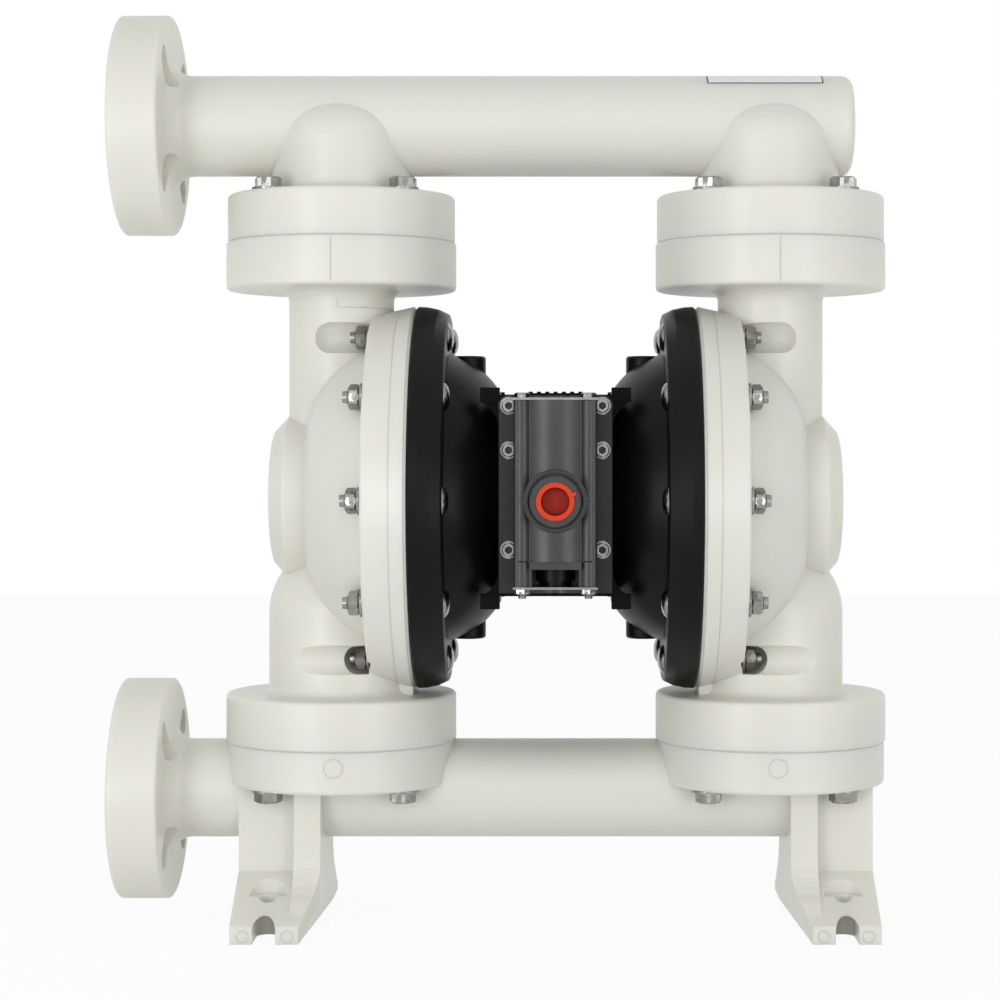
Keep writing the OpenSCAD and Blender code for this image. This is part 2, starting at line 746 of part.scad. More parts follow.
// The screws inside each air cap that hold it to the motor body
module air_cap_screws() {
    color([0.7, 0.7, 0.7]) at_axis() for (side = [0, 1]) mirror([side, 0, 0]) at_air_cap_screws() {
        bar_x(valve_screw_d / 2, air_cap_x - 14, air_floor_x);
        bar_x(socket_head_d * valve_screw_d / 2, air_floor_x, air_floor_x + valve_screw_d);
    }
}

// The motor body: a block with a hub at each end, drilled for the two rods, the
// air passages and the exhaust
module motor_body() {
    color([0.13, 0.13, 0.13]) at_axis() difference() {
        union() {
            intersection() {
                translate([-air_cap_x, -body_front, -body_bottom])
                    cube([2 * air_cap_x, body_front + body_back, body_top + body_bottom]);
                bar_x(sqrt(body_front * body_front + body_top * body_top) - 3, -air_cap_x, air_cap_x);
            }
            bar_x(hub_r, -hub_x, hub_x);
            for (sx = [0, 1]) mirror([sx, 0, 0]) for (sy = [0, 1]) mirror([0, sy, 0]) body_lugs();
            top_pad();
        }
        bar_x(rod_d / 2 + 1.5, -hub_x - 1, hub_x + 1);
        for (side = [0, 1]) mirror([side, 0, 0]) {
            bar_x(rod_d / 2 + bush_wall + slide_fit, hub_x - bush_l - seal_l, hub_x + 1);
            translate([0, 0, pilot_rise])
                bar_x(pilot_d / 2 + bush_wall + slide_fit, hub_x - bush_l, hub_x + 1);
            at_air_cap_screws() bar_x(valve_screw_d / 2 + 0.1, air_cap_x - 16, air_cap_x + 1);
            air_passage();
        }
        for (side = [0, 1]) mirror([side, 0, 0])
            ring_x(hub_r + 1, hub_r - 2.6, air_cap_x + 4.9, air_cap_x + 8.1);
        translate([0, 0, pilot_rise]) bar_x(pilot_d / 2 + 1, -hub_x - 1, hub_x + 1);
        bar_y(12 + slide_fit, body_back - 22, body_back + 1);
        rear_pockets();
        for (sx = [-1, 1]) for (z = valve_screw_z)
            translate([sx * valve_screw_x, 0, z])
                bar_y(valve_screw_d / 2 + 0.1, -body_front - 1, -body_front + 14);
    }
}

// Corner lugs with a gusset on the body's end faces, clear of the air cap's dome
module body_lugs() {
    lug = 14;
    for (z = [-body_bottom - 9.5, body_top - 5.5]) translate([air_cap_x - 1, -body_front, z])
        cube([lug, lug, 10.5]);
    translate([0, -body_front + 5, 0]) rotate([90, 0, 0]) linear_extrude(4) {
        polygon(concat(
            [[air_cap_x - 1, body_top - 24]],
            arc([air_cap_x + 19, body_top - 24], 19, 180, 118, 6),
            [[air_cap_x + lug - 2, body_top - 5], [air_cap_x - 1, body_top - 5]]));
        polygon(concat(
            [[air_cap_x - 1, 18 - body_bottom]],
            arc([air_cap_x + 19, 18 - body_bottom], 19, 180, 242, 6),
            [[air_cap_x + lug - 2, 1 - body_bottom], [air_cap_x - 1, 1 - body_bottom]]));
    }
}

// A ribbed pad along the body's front top edge
module top_pad() {
    for (x = [-18:6:18]) translate([x - 1.5, -body_front, body_top - 4]) cube([3, 10, 6]);
    translate([-21, -body_front + 2, body_top - 4]) cube([42, 6, 5]);
}

// From the valve face back into the body, then out through the hub
module air_passage() {
    translate([12, 0, -18]) bar_y(4.5, -body_front - 1, -20);
    translate([0, -22, -18]) bar_x(4.5, 8, hub_x + 1);
}

// Cored pockets in the back of the body, between ribs, round the exhaust port
module rear_pockets() {
    for (sx = [-1, 1]) for (z = [-52, 52])
        translate([sx * 20 - 14, body_back - 18, z - 16]) cube([28, 19, 32]);
}

module motor_hub_seals() {
    color([0.2, 0.2, 0.2]) at_axis() for (side = [0, 1]) mirror([side, 0, 0])
        ring_x(hub_r + 0.1, hub_r - 2.5, air_cap_x + 5, air_cap_x + 8);
}

// A moulded diaphragm: rim in the joint, one rolled fold, and a flat centre
module diaphragm() {
    x0 = joint_x - diaphragm_t;
    mid_r = (washer_r + fold_out_r) / 2;
    fold = (fold_out_r - washer_r) / 2;
    at_axis() difference() {
        spin_x() difference() {
            union() {
                translate([0, x0]) square([diaphragm_d / 2, diaphragm_t]);
                intersection() {
                    translate([mid_r, joint_x - 1]) circle(r = fold - 2);
                    translate([0, joint_x - 2]) square([diaphragm_d / 2, 30]);
                }
            }
            intersection() {
                translate([mid_r, joint_x - 1 - diaphragm_t]) circle(r = fold - 2);
                translate([0, x0 - 1]) square([diaphragm_d / 2, 30]);
            }
            translate([-1, x0 - 1]) square([rod_thread_d / 2 + 0.2 + 1, diaphragm_t + 30]);
        }
        at_cap_bolts() bar_x(cap_bolt_d / 2 + bolt_fit, x0 - 1, joint_x + 1);
    }
}

module diaphragm_right() {
    color([0.16, 0.16, 0.15]) diaphragm();
}

module diaphragm_left() {
    color([0.16, 0.16, 0.15]) mirror([1, 0, 0]) diaphragm();
}

module diaphragm_rod() {
    color([0.75, 0.75, 0.74]) at_axis() {
        bar_x(rod_d / 2, -rod_shoulder_x, rod_shoulder_x);
        bar_x(rod_thread_d / 2, -rod_end_x, rod_end_x);
    }
}

// The dished washers that clamp a diaphragm's centre, on the air and liquid sides
module inner_washer() {
    x0 = joint_x - diaphragm_t;
    at_axis() spin_x() polygon(concat(
        [[rod_thread_d / 2 + 0.2, x0 - inner_washer_t]],
        arc([washer_r - 5, x0 - inner_washer_t + 5], 5, -90, 0, 4),
        [[washer_r, x0], [rod_thread_d / 2 + 0.2, x0]]));
}

module outer_washer() {
    x1 = joint_x + outer_washer_t;
    at_axis() spin_x() polygon(concat(
        [[rod_thread_d / 2 + 0.2, joint_x], [washer_r, joint_x]],
        arc([washer_r - 6, x1 - 6], 6, 0, 90, 4),
        [[rod_thread_d / 2 + 0.2, x1]]));
}

module inner_washer_right() {
    color([0.72, 0.72, 0.72]) inner_washer();
}

module inner_washer_left() {
    color([0.72, 0.72, 0.72]) mirror([1, 0, 0]) inner_washer();
}

module outer_washer_right() {
    color([0.86, 0.86, 0.82]) outer_washer();
}

module outer_washer_left() {
    color([0.86, 0.86, 0.82]) mirror([1, 0, 0]) outer_washer();
}

module rod_nut() {
    at_axis() difference() {
        hex_x(24, rod_nut_x, rod_nut_x + rod_nut_t);
        bar_x(rod_thread_d / 2 + 0.1, rod_nut_x - 1, rod_nut_x + rod_nut_t + 1);
    }
}

module rod_nut_right() {
    color([0.75, 0.75, 0.74]) rod_nut();
}

module rod_nut_left() {
    color([0.75, 0.75, 0.74]) mirror([1, 0, 0]) rod_nut();
}

module rod_bushes() {
    color([0.72, 0.58, 0.3]) at_axis() for (side = [0, 1]) mirror([side, 0, 0])
        ring_x(rod_d / 2 + bush_wall, rod_d / 2 + slide_fit, hub_x - bush_l, hub_x);
}

module rod_seals() {
    color([0.2, 0.2, 0.2]) at_axis() for (side = [0, 1]) mirror([side, 0, 0])
        ring_x(rod_d / 2 + bush_wall, rod_d / 2 + slide_fit, hub_x - bush_l - seal_l, hub_x - bush_l);
}

module pilot_rod() {
    color([0.75, 0.75, 0.74]) at_axis() translate([0, 0, pilot_rise])
        bar_x(pilot_d / 2, -pilot_end_x, pilot_end_x);
}

module pilot_bushes() {
    color([0.72, 0.58, 0.3]) at_axis() translate([0, 0, pilot_rise])
        for (side = [0, 1]) mirror([side, 0, 0])
            ring_x(pilot_d / 2 + bush_wall, pilot_d / 2 + slide_fit, hub_x - bush_l, hub_x);
}

// The plan of the valve body and its end cap: flange, block and front ribs
module valve_plan(with_panel) {
    translate([-valve_w / 2 + flank_in, valve_front_y + rib_r])
        square([valve_w - 2 * flank_in, valve_back_y - valve_front_y - rib_r]);
    for (side = [-1, 1]) {
        translate([side * (valve_w / 2 - rib_r), valve_front_y + rib_r]) circle(r = rib_r);
        translate([side * small_rib_x, valve_front_y + small_rib_r + 0.8]) circle(r = small_rib_r);
    }
    if (with_panel) intersection() {
        translate([0, valve_front_y - panel_bulge + 30]) circle(r = 30);
        translate([-panel_half_w, valve_front_y - 20]) square([2 * panel_half_w, 40]);
    }
}

// The plate that seats on the body, with rounded corners round its screws
module valve_flange(y, t) {
    translate([0, y + t, 0]) rotate([90, 0, 0]) linear_extrude(t) union() {
        translate([-valve_flange_half_w, flange_low_z])
            square([2 * valve_flange_half_w, valve_screw_z[0] - flange_low_z]);
        translate([-valve_screw_x, 0]) square([2 * valve_screw_x, valve_top + 4]);
        for (side = [-1, 1]) translate([side * valve_screw_x, valve_screw_z[0]])
            circle(r = valve_flange_half_w - valve_screw_x + 0.6);
    }
}

module valve_block() {
    color([0.2, 0.2, 0.2]) at_axis() difference() {
        union() {
            translate([0, 0, end_joint_z]) linear_extrude(valve_top - end_joint_z) valve_plan(true);
            valve_flange(valve_flange_y, valve_flange_t);
            bar_y(collar_r, valve_front_y - 1.5, valve_front_y + 8);
        }
        boss_groove();
        translate([0, spool_y, 0]) {
            bar_z(sleeve_r + slide_fit, end_joint_z - 5, valve_top + 5);
            bar_z(end_plug_r + 0.4, flange_low_z - 1, end_joint_z - 0.5);
        }
        inlet_way();
        for (side = [-1, 1]) {
            translate([side * tie_x, spool_y, 0])
                bar_z(valve_screw_d / 2 + 0.3, end_joint_z - 5, valve_top + 5);
            for (z = valve_screw_z) translate([side * valve_screw_x, 0, z]) {
                bar_y(valve_screw_d / 2 + bolt_fit, valve_flange_y - 1, valve_back_y + 1);
                bar_y(valve_washer_d / 2 + 0.3, valve_flange_y - valve_washer_t - 7, valve_flange_y);
            }
            translate([side * 12, 0, -18]) bar_y(4.5, spool_y, valve_back_y + 1);
        }
        translate([0, 0, 18]) bar_y(6, spool_y, valve_back_y + 1);
    }
    color([0.2, 0.2, 0.2]) at_axis() difference() {
        bar_y(inlet_boss_d / 2, boss_face_y, spool_y - sleeve_r - 1);
        inlet_way();
    }
}

// The air inlet: a seat for the plug, the threaded length, then the way to the sleeve
module inlet_way() {
    seat_y = boss_face_y + plug_l + 1;
    bar_y(inlet_bore / 2, boss_face_y - 1, seat_y);
    bar_y(inlet_thread_bore / 2, seat_y - 1, seat_y + thread_l);
    bar_y(air_way_r, seat_y, spool_y);
}

// A round groove through the front panel, so that the inlet boss stands free
module boss_groove() {
    difference() {
        bar_y(collar_r, valve_front_y - 20, valve_front_y - 1.5);
        bar_y(inlet_boss_d / 2, valve_front_y - 21, valve_front_y);
    }
    difference() {
        bar_y(inlet_boss_d / 2 + 2.2, valve_front_y - 20, valve_front_y + 2);
        bar_y(inlet_boss_d / 2, valve_front_y - 21, valve_front_y + 3);
    }
}

module valve_gasket() {
    color([0.3, 0.3, 0.28]) at_axis() difference() {
        valve_flange(valve_back_y, gasket_t);
        for (side = [-1, 1]) {
            for (z = valve_screw_z) translate([side * valve_screw_x, 0, z])
                bar_y(valve_screw_d / 2 + bolt_fit, valve_back_y - 1, -body_front + 1);
            translate([side * 12, 0, -18]) bar_y(5, valve_back_y - 1, -body_front + 1);
        }
        translate([0, 0, 18]) bar_y(6, valve_back_y - 1, -body_front + 1);
    }
}

// The sleeve that the spool slides in, with a ring of ports at each land
module valve_sleeve() {
    color([0.75, 0.75, 0.74]) at_axis() translate([0, spool_y, 0]) difference() {
        bar_z(sleeve_r, end_joint_z, valve_top - 10);
        bar_z(spool_d / 2 + slide_fit, end_joint_z + 2, valve_top);
        for (z = [-18, 0, 18]) for (q = [0:60:300]) translate([0, 0, z]) rotate([0, 0, q])
            bar_y(2.5, 0, sleeve_r + 1);
    }
}

// The spool rests on the sleeve's floor and rises by its stroke, short of the plug
module valve_spool() {
    r = spool_d / 2;
    z0 = end_joint_z + 2.3;
    top = valve_top - 19.2 - spool_stroke;
    color([0.72, 0.72, 0.75]) at_axis() translate([0, spool_y, 0]) rotate_extrude() polygon([
        [0, z0], [r, z0], [r, z0 + 5], [r - 2, z0 + 5], [r - 2, z0 + 8], [r, z0 + 8], [r, z0 + 18],
        [r - 4, z0 + 18], [r - 4, z0 + 34], [r, z0 + 34], [r, z0 + 48], [r - 4, z0 + 48],
        [r - 4, z0 + 62], [r, z0 + 62], [r, z0 + 72], [r - 2, z0 + 72], [r - 2, z0 + 75],
        [r, z0 + 75], [r, top], [0, top]]);
}

module spool_seals() {
    r = spool_d / 2;
    z0 = end_joint_z + 2.3;
    color([0.15, 0.15, 0.15]) at_axis() translate([0, spool_y, 0]) for (z = [z0 + 5.2, z0 + 72.2])
        difference() {
            bar_z(r, z, z + 2.6);
            bar_z(r - 1.9, z - 1, z + 4);
        }
}

// The disc that closes the valve bore under the top plate
module valve_top_plug() {
    color([0.2, 0.2, 0.2]) at_axis() translate([0, spool_y, 0])
        bar_z(sleeve_r - drop_fit, valve_top - 9.8, valve_top);
}

module valve_end_cap() {
    color([0.2, 0.2, 0.2]) at_axis() difference() {
        union() {
            translate([0, 0, -valve_bottom]) linear_extrude(end_cap_h) valve_plan(false);
            translate([-18, valve_front_y - 2, end_joint_z - 5.6]) cube([36, 24, 5.6]);
        }
        translate([-panel_half_w, valve_front_y - 10, -valve_bottom - 1])
            cube([2 * panel_half_w, 10 + spool_y - valve_front_y + 13, end_cap_h - 4.6]);
        translate([0, spool_y, 0]) bar_z(end_plug_r - 3, -valve_bottom - 1, end_joint_z + 1);
        for (side = [-1, 1]) translate([side * tie_x, spool_y, 0])
            bar_z(valve_screw_d / 2 + bolt_fit, -valve_bottom - 1, end_joint_z + 1);
        translate([-valve_flange_half_w, valve_flange_y - 0.2, -valve_bottom - 1])
            cube([2 * valve_flange_half_w, 20, end_cap_h + 2]);
    }
}

// The plug screwed up into the end cap, seen through its open front
module valve_end_plug() {
    color([0.2, 0.2, 0.2]) at_axis() translate([0, spool_y, 0]) {
        bar_z(end_plug_r - 3 - slide_fit, end_joint_z - 5.6, end_joint_z - 0.2);
        bar_z(end_plug_r, -valve_bottom + 3.4, end_joint_z - 5.6);
        bar_z(end_plug_r - 2.6, -valve_bottom, -valve_bottom + 3.4);
    }
}

// The two stainless plates that the tie bolts draw together
module valve_plate(z) {
    at_axis() difference() {
        translate([-valve_w / 2 - 1, valve_front_y - 1, z])
            cube([valve_w + 2, valve_flange_y - valve_front_y - valve_washer_t + 0.7, plate_t]);
        for (side = [-1, 1]) translate([side * tie_x, spool_y, 0])
            bar_z(valve_screw_d / 2 + bolt_fit, z - 1, z + plate_t + 1);
    }
}

module valve_plate_top() {
    color([0.75, 0.75, 0.74]) valve_plate(valve_top);
}

module valve_plate_bottom() {
    color([0.75, 0.75, 0.74]) valve_plate(-valve_bottom - plate_t);
}

module valve_tie_bolts() {
    color([0.75, 0.75, 0.74]) at_axis() for (side = [-1, 1]) translate([side * tie_x, spool_y, 0]) {
        bar_z(valve_screw_d / 2, -valve_bottom - plate_t - 9.5, valve_top + plate_t);
        hex_z(1.67 * valve_screw_d, valve_top + plate_t, valve_top + plate_t + 4);
    }
}

module valve_tie_nuts() {
    color([0.75, 0.75, 0.74]) at_axis() for (side = [-1, 1]) translate([side * tie_x, spool_y, 0])
        difference() {
            hex_z(1.67 * valve_screw_d, -valve_bottom - plate_t - 5, -valve_bottom - plate_t);
            bar_z(valve_screw_d / 2 + 0.1, -valve_bottom - plate_t - 6, -valve_bottom - plate_t + 1);
        }
}

module at_valve_screws() {
    at_axis() for (side = [-1, 1]) for (z = valve_screw_z)
        translate([side * valve_screw_x, 0, z]) children();
}

module valve_screws() {
    head_y = valve_flange_y - valve_washer_t;
    color([0.75, 0.75, 0.74]) at_valve_screws() difference() {
        union() {
            bar_y(valve_screw_d / 2, head_y, -body_front + 12);
            bar_y(socket_head_d * valve_screw_d / 2, head_y - valve_screw_d, head_y);
        }
        translate([0, head_y - valve_screw_d - 1, 0]) rotate([-90, 0, 0])
            cylinder(r = 0.83 * valve_screw_d / sqrt(3), h = valve_screw_d * 0.6 + 1, $fn = 6);
    }
}

module valve_screw_washers() {
    color([0.75, 0.75, 0.74]) at_valve_screws() difference() {
        bar_y(valve_washer_d / 2, valve_flange_y - valve_washer_t, valve_flange_y);
        bar_y(valve_screw_d / 2 + 0.2, valve_flange_y - valve_washer_t - 1, valve_flange_y + 1);
    }
}

// The muffler screwed into the back of the body, with slots round its barrel
module exhaust_muffler() {
    color([0.12, 0.12, 0.12]) at_axis() difference() {
        union() {
            bar_y(12, body_back - 16, body_back + 4);
            rotate([-90, 0, 0]) translate([0, 0, body_back]) rotate_extrude() polygon(concat(
                [[0, 0], [17, 0], [20, 3]], arc([14, 40], 6, 0, 90, 5), [[0, 46]]));
        }
        bar_y(8, body_back - 17, body_back + 40);
        for (q = [0:30:330]) rotate([0, q, 0]) translate([-1.5, body_back + 10, 14])
            cube([3, 24, 8]);
    }
}

// The push-in plug that keeps dirt out of the air inlet
module inlet_plug() {
    r = inlet_bore / 2;
    color([0.93, 0.3, 0.17]) at_axis() rotate([90, 0, 0]) translate([0, 0, -boss_face_y]) {
        difference() {
            rotate_extrude() polygon([
                [0, -plug_l], [r - 0.8, -plug_l], [r - drop_fit / 2, -plug_l + 2], [r - drop_fit / 2, 0],
                [r + 1.1, 0], [r + 1.1, 1.6], [r - 2.2, 1.6], [r - 3.4, -plug_l + 3], [0, -plug_l + 3]]);
        }
        rotate([0, 0, 22]) translate([r, -1.2, 0]) cube([3.2, 2.4, 1.6]);
    }
}

// A ball in its seat: h is the height of its joint
module ball_at(side, h) {
    color([0.93, 0.92, 0.86]) translate([side * column_x, 0, h + ball_h]) sphere(r = ball_d / 2);
}

module ball_inlet_left() {
    ball_at(-1, inlet_joint_h);
}

module ball_inlet_right() {
    ball_at(1, inlet_joint_h);
}

module ball_outlet_left() {
    ball_at(-1, outlet_joint_h);
}

module ball_outlet_right() {
    ball_at(1, outlet_joint_h);
}

// A seat ring across a joint at height h, with the cone that the ball closes
module seat_at(side, h) {
    drop = (seat_mouth_r() - seat_bore / 2) * tan(seat_angle);
    color([0.9, 0.89, 0.84]) translate([side * column_x, 0, h]) rotate_extrude() polygon([
        [seat_bore / 2, -seat_down], [seat_d / 2, -seat_down], [seat_d / 2, seat_up],
        [seat_mouth_r(), seat_up], [seat_bore / 2, seat_up - drop]]);
}

module seat_inlet_left() {
    seat_at(-1, inlet_joint_h);
}

module seat_inlet_right() {
    seat_at(1, inlet_joint_h);
}

module seat_outlet_left() {
    seat_at(-1, outlet_joint_h);
}

module seat_outlet_right() {
    seat_at(1, outlet_joint_h);
}

// The cord rings in the grooves round the seats; they touch the groove's floor
module joint_seals(h) {
    color([0.93, 0.93, 0.9]) at_columns(h) rotate_extrude()
        translate([seal_ring_d / 2, 0]) circle(r = seal_cord / 2 - 0.05, $fn = 32);
}

module inlet_seals() {
    joint_seals(inlet_joint_h + seal_cord / 2);
}

module outlet_seals() {
    joint_seals(outlet_joint_h - seal_cord / 2);
}

// The diaphragm joint's bolts: domed heads on the air side, nuts on the liquid side
module diaphragm_bolts() {
    head_r = (cap_head_d * cap_head_d / 4 + cap_head_h * cap_head_h) / (2 * cap_head_h);
    at_axis() at_cap_bolts() {
        bar_x(cap_bolt_d / 2, air_flange_x, cap_bolt_end_x);
        intersection() {
            translate([air_flange_x - cap_head_h + head_r, 0, 0]) sphere(r = head_r);
            bar_x(cap_head_d / 2, air_flange_x - cap_head_h - 1, air_flange_x);
        }
    }
}

module diaphragm_nuts() {
    x0 = cap_face_x + cap_washer_t;
    x1 = x0 + hex_nut_h * cap_bolt_d;
    at_axis() at_cap_bolts() difference() {
        rotate([30, 0, 0]) hex_x(1.6 * cap_bolt_d, x0, x1);
        bar_x(cap_bolt_d / 2 + 0.1, x0 - 1, x1 + 1);
    }
}

module diaphragm_washers() {
    at_axis() at_cap_bolts()
        ring_x(cap_washer_d / 2, cap_bolt_d / 2 + 0.2, cap_face_x, cap_face_x + cap_washer_t);
}

module diaphragm_bolts_right() {
    color([0.75, 0.75, 0.74]) diaphragm_bolts();
}

module diaphragm_bolts_left() {
    color([0.75, 0.75, 0.74]) mirror([1, 0, 0]) diaphragm_bolts();
}

module diaphragm_nuts_right() {
    color([0.7, 0.7, 0.69]) diaphragm_nuts();
}

module diaphragm_nuts_left() {
    color([0.7, 0.7, 0.69]) mirror([1, 0, 0]) diaphragm_nuts();
}

module diaphragm_washers_right() {
    color([0.8, 0.8, 0.79]) diaphragm_washers();
}

module diaphragm_washers_left() {
    color([0.8, 0.8, 0.79]) mirror([1, 0, 0]) diaphragm_washers();
}

// A joint bolt, its washer and its insert, over a manifold disc of thickness t;
// the joint is at height 0 and the head is above
module joint_bolt(t) {
    head_z = t + joint_washer_t;
    bar_z(joint_bolt_d / 2, -insert_l - joint_bolt_overrun, head_z);
    hex_z(hex_across_flats * joint_bolt_d, head_z, head_z + hex_head_h * joint_bolt_d);
}

module joint_washer(t) {
    difference() {
        bar_z(joint_washer_d / 2, t, t + joint_washer_t);
        bar_z(joint_bolt_d / 2 + 0.2, t - 1, t + joint_washer_t + 1);
    }
}

module joint_insert() {
    difference() {
        bar_z(insert_d / 2 - slide_fit, -insert_l, 0);
        bar_z(joint_bolt_d / 2 + 0.1, -insert_l - 1, 1);
    }
}

module outlet_bolts() {
    color([0.75, 0.75, 0.74]) at_columns(outlet_joint_h) at_joint_bolts() joint_bolt(outlet_disc_t);
}

module outlet_bolt_washers() {
    color([0.8, 0.8, 0.79]) at_columns(outlet_joint_h) at_joint_bolts() joint_washer(outlet_disc_t);
}

module outlet_inserts() {
    color([0.72, 0.58, 0.3]) at_columns(outlet_joint_h) at_joint_bolts() joint_insert();
}

module inlet_bolts() {
    color([0.75, 0.75, 0.74]) at_columns(inlet_joint_h) mirror([0, 0, 1])
        at_joint_bolts() joint_bolt(inlet_disc_t);
}

module inlet_bolt_washers() {
    color([0.8, 0.8, 0.79]) at_columns(inlet_joint_h) mirror([0, 0, 1])
        at_joint_bolts() joint_washer(inlet_disc_t);
}

module inlet_inserts() {
    color([0.72, 0.58, 0.3]) at_columns(inlet_joint_h) mirror([0, 0, 1]) at_joint_bolts() joint_insert();
}

inlet_manifold();
outlet_manifold();
fluid_cap_left();
fluid_cap_right();
air_cap_left();
air_cap_right();
motor_body();
motor_hub_seals();
air_cap_screws();
diaphragm_left();
diaphragm_right();
diaphragm_rod();
inner_washer_left();
inner_washer_right();
outer_washer_left();
outer_washer_right();
rod_nut_left();
rod_nut_right();
rod_bushes();
rod_seals();
pilot_rod();
pilot_bushes();
valve_block();
valve_gasket();
valve_sleeve();
valve_spool();
spool_seals();
valve_top_plug();
valve_end_cap();
valve_end_plug();
valve_plate_top();
valve_plate_bottom();
valve_tie_bolts();
valve_tie_nuts();
valve_screws();
valve_screw_washers();
exhaust_muffler();
inlet_plug();
ball_inlet_left();
ball_inlet_right();
ball_outlet_left();
ball_outlet_right();
seat_inlet_left();
seat_inlet_right();
seat_outlet_left();
seat_outlet_right();
inlet_seals();
outlet_seals();
diaphragm_bolts_left();
diaphragm_bolts_right();
diaphragm_nuts_left();
diaphragm_nuts_right();
diaphragm_washers_left();
diaphragm_washers_right();
outlet_bolts();
outlet_bolt_washers();
outlet_inserts();
inlet_bolts();
inlet_bolt_washers();
inlet_inserts();
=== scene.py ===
import math
import bpy
import bmesh
from mathutils import Matrix, Vector


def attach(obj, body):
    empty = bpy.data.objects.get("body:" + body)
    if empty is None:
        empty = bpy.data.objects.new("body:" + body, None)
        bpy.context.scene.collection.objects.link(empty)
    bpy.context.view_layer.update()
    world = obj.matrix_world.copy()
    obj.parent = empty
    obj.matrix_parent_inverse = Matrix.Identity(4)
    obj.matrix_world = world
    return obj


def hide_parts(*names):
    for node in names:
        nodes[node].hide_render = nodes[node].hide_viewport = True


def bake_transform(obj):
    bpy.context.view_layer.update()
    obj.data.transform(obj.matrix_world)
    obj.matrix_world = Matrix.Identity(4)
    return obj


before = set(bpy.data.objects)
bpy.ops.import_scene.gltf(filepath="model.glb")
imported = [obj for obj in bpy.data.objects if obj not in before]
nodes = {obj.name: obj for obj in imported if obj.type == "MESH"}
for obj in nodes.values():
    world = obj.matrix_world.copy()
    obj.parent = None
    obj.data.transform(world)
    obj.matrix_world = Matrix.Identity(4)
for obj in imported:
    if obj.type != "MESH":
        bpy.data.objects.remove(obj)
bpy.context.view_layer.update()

# Studio: a pale floor and background, broad soft lights at the left, at the right
# and in front, and a camera square to the front of the pump, level with its middle
# and about 1.8 m away.
scene = bpy.context.scene
scene.view_settings.view_transform = "Standard"

CAMERA_PLACE = (0.0061, -1.787, 0.3577)
CAMERA_LENS = 85.0
CAMERA_SHIFT = (-0.064, -0.052)

camera_data = bpy.data.cameras.new("camera")
camera_data.lens = CAMERA_LENS
camera_data.sensor_width = 36
camera_data.shift_x = CAMERA_SHIFT[0]
camera_data.shift_y = CAMERA_SHIFT[1]
camera = bpy.data.objects.new("camera", camera_data)
camera.location = CAMERA_PLACE
camera.rotation_euler = (math.radians(90), 0, 0)
scene.collection.objects.link(camera)
scene.camera = camera


def softbox(name, place, aim, size, power):
    data = bpy.data.lights.new(name, "AREA")
    data.shape = "RECTANGLE"
    data.size = size[0]
    data.size_y = size[1]
    data.energy = power
    lamp = bpy.data.objects.new(name, data)
    lamp.location = place
    lamp.rotation_euler = (Vector(aim) - Vector(place)).to_track_quat("-Z", "Y").to_euler()
    scene.collection.objects.link(lamp)


softbox("key_left", (-1.15, -2.0, 0.50), (0, 0, 0.30), (0.40, 1.0), 7.0)
softbox("fill_right", (1.25, -1.9, 0.50), (0, 0, 0.30), (0.30, 1.0), 3.4)
softbox("low_left", (-1.3, -1.9, 0.17), (-0.1, 0, 0.10), (1.1, 0.3), 5.5)
softbox("low_right", (1.3, -1.9, 0.17), (0.1, 0, 0.10), (1.1, 0.3), 4.5)
softbox("front", (-0.1, -2.7, 1.0), (0, 0, 0.30), (1.0, 0.7), 3.8)


def seen_directly(tree):
    """1 for rays from the camera and for what metal and glass show, else 0."""
    path = tree.nodes.new("ShaderNodeLightPath")
    total = path.outputs["Is Camera Ray"]
    for kind in ("Is Glossy Ray", "Is Transmission Ray"):
        either = tree.nodes.new("ShaderNodeMath")
        either.operation = "MAXIMUM"
        tree.links.new(total, either.inputs[0])
        tree.links.new(path.outputs[kind], either.inputs[1])
        total = either.outputs[0]
    return total


def shown_white(name, colour, share):
    """A pale matt floor that is shown nearly white, with a light shadow, and sends
    no more light to the pump than its own colour does."""
    mat = bpy.data.materials.new(name)
    mat.use_nodes = True
    tree = mat.node_tree
    shader = tree.nodes["Principled BSDF"]
    shader.inputs["Base Color"].default_value = (*colour, 1)
    shader.inputs["Roughness"].default_value = 0.9
    shader.inputs["Specular IOR Level"].default_value = 0.0
    white = tree.nodes.new("ShaderNodeEmission")
    white.inputs["Strength"].default_value = 1.0
    part = tree.nodes.new("ShaderNodeMath")
    part.operation = "MULTIPLY"
    part.inputs[1].default_value = share
    tree.links.new(seen_directly(tree), part.inputs[0])
    mix = tree.nodes.new("ShaderNodeMixShader")
    tree.links.new(part.outputs[0], mix.inputs[0])
    tree.links.new(shader.outputs[0], mix.inputs[1])
    tree.links.new(white.outputs[0], mix.inputs[2])
    tree.links.new(mix.outputs[0], tree.nodes["Material Output"].inputs["Surface"])
    return mat


FLOOR_Z = -0.0006

floor_corners = [(-4, -3, FLOOR_Z), (4, -3, FLOOR_Z), (4, 4, FLOOR_Z), (-4, 4, FLOOR_Z)]
floor_mesh = bpy.data.meshes.new("studio_floor")
floor_mesh.from_pydata(floor_corners, [], [(0, 1, 2, 3)])
floor_mesh.materials.append(shown_white("studio_white", (0.92, 0.92, 0.92), 0.93))
studio_floor = bpy.data.objects.new("studio_floor", floor_mesh)
scene.collection.objects.link(studio_floor)

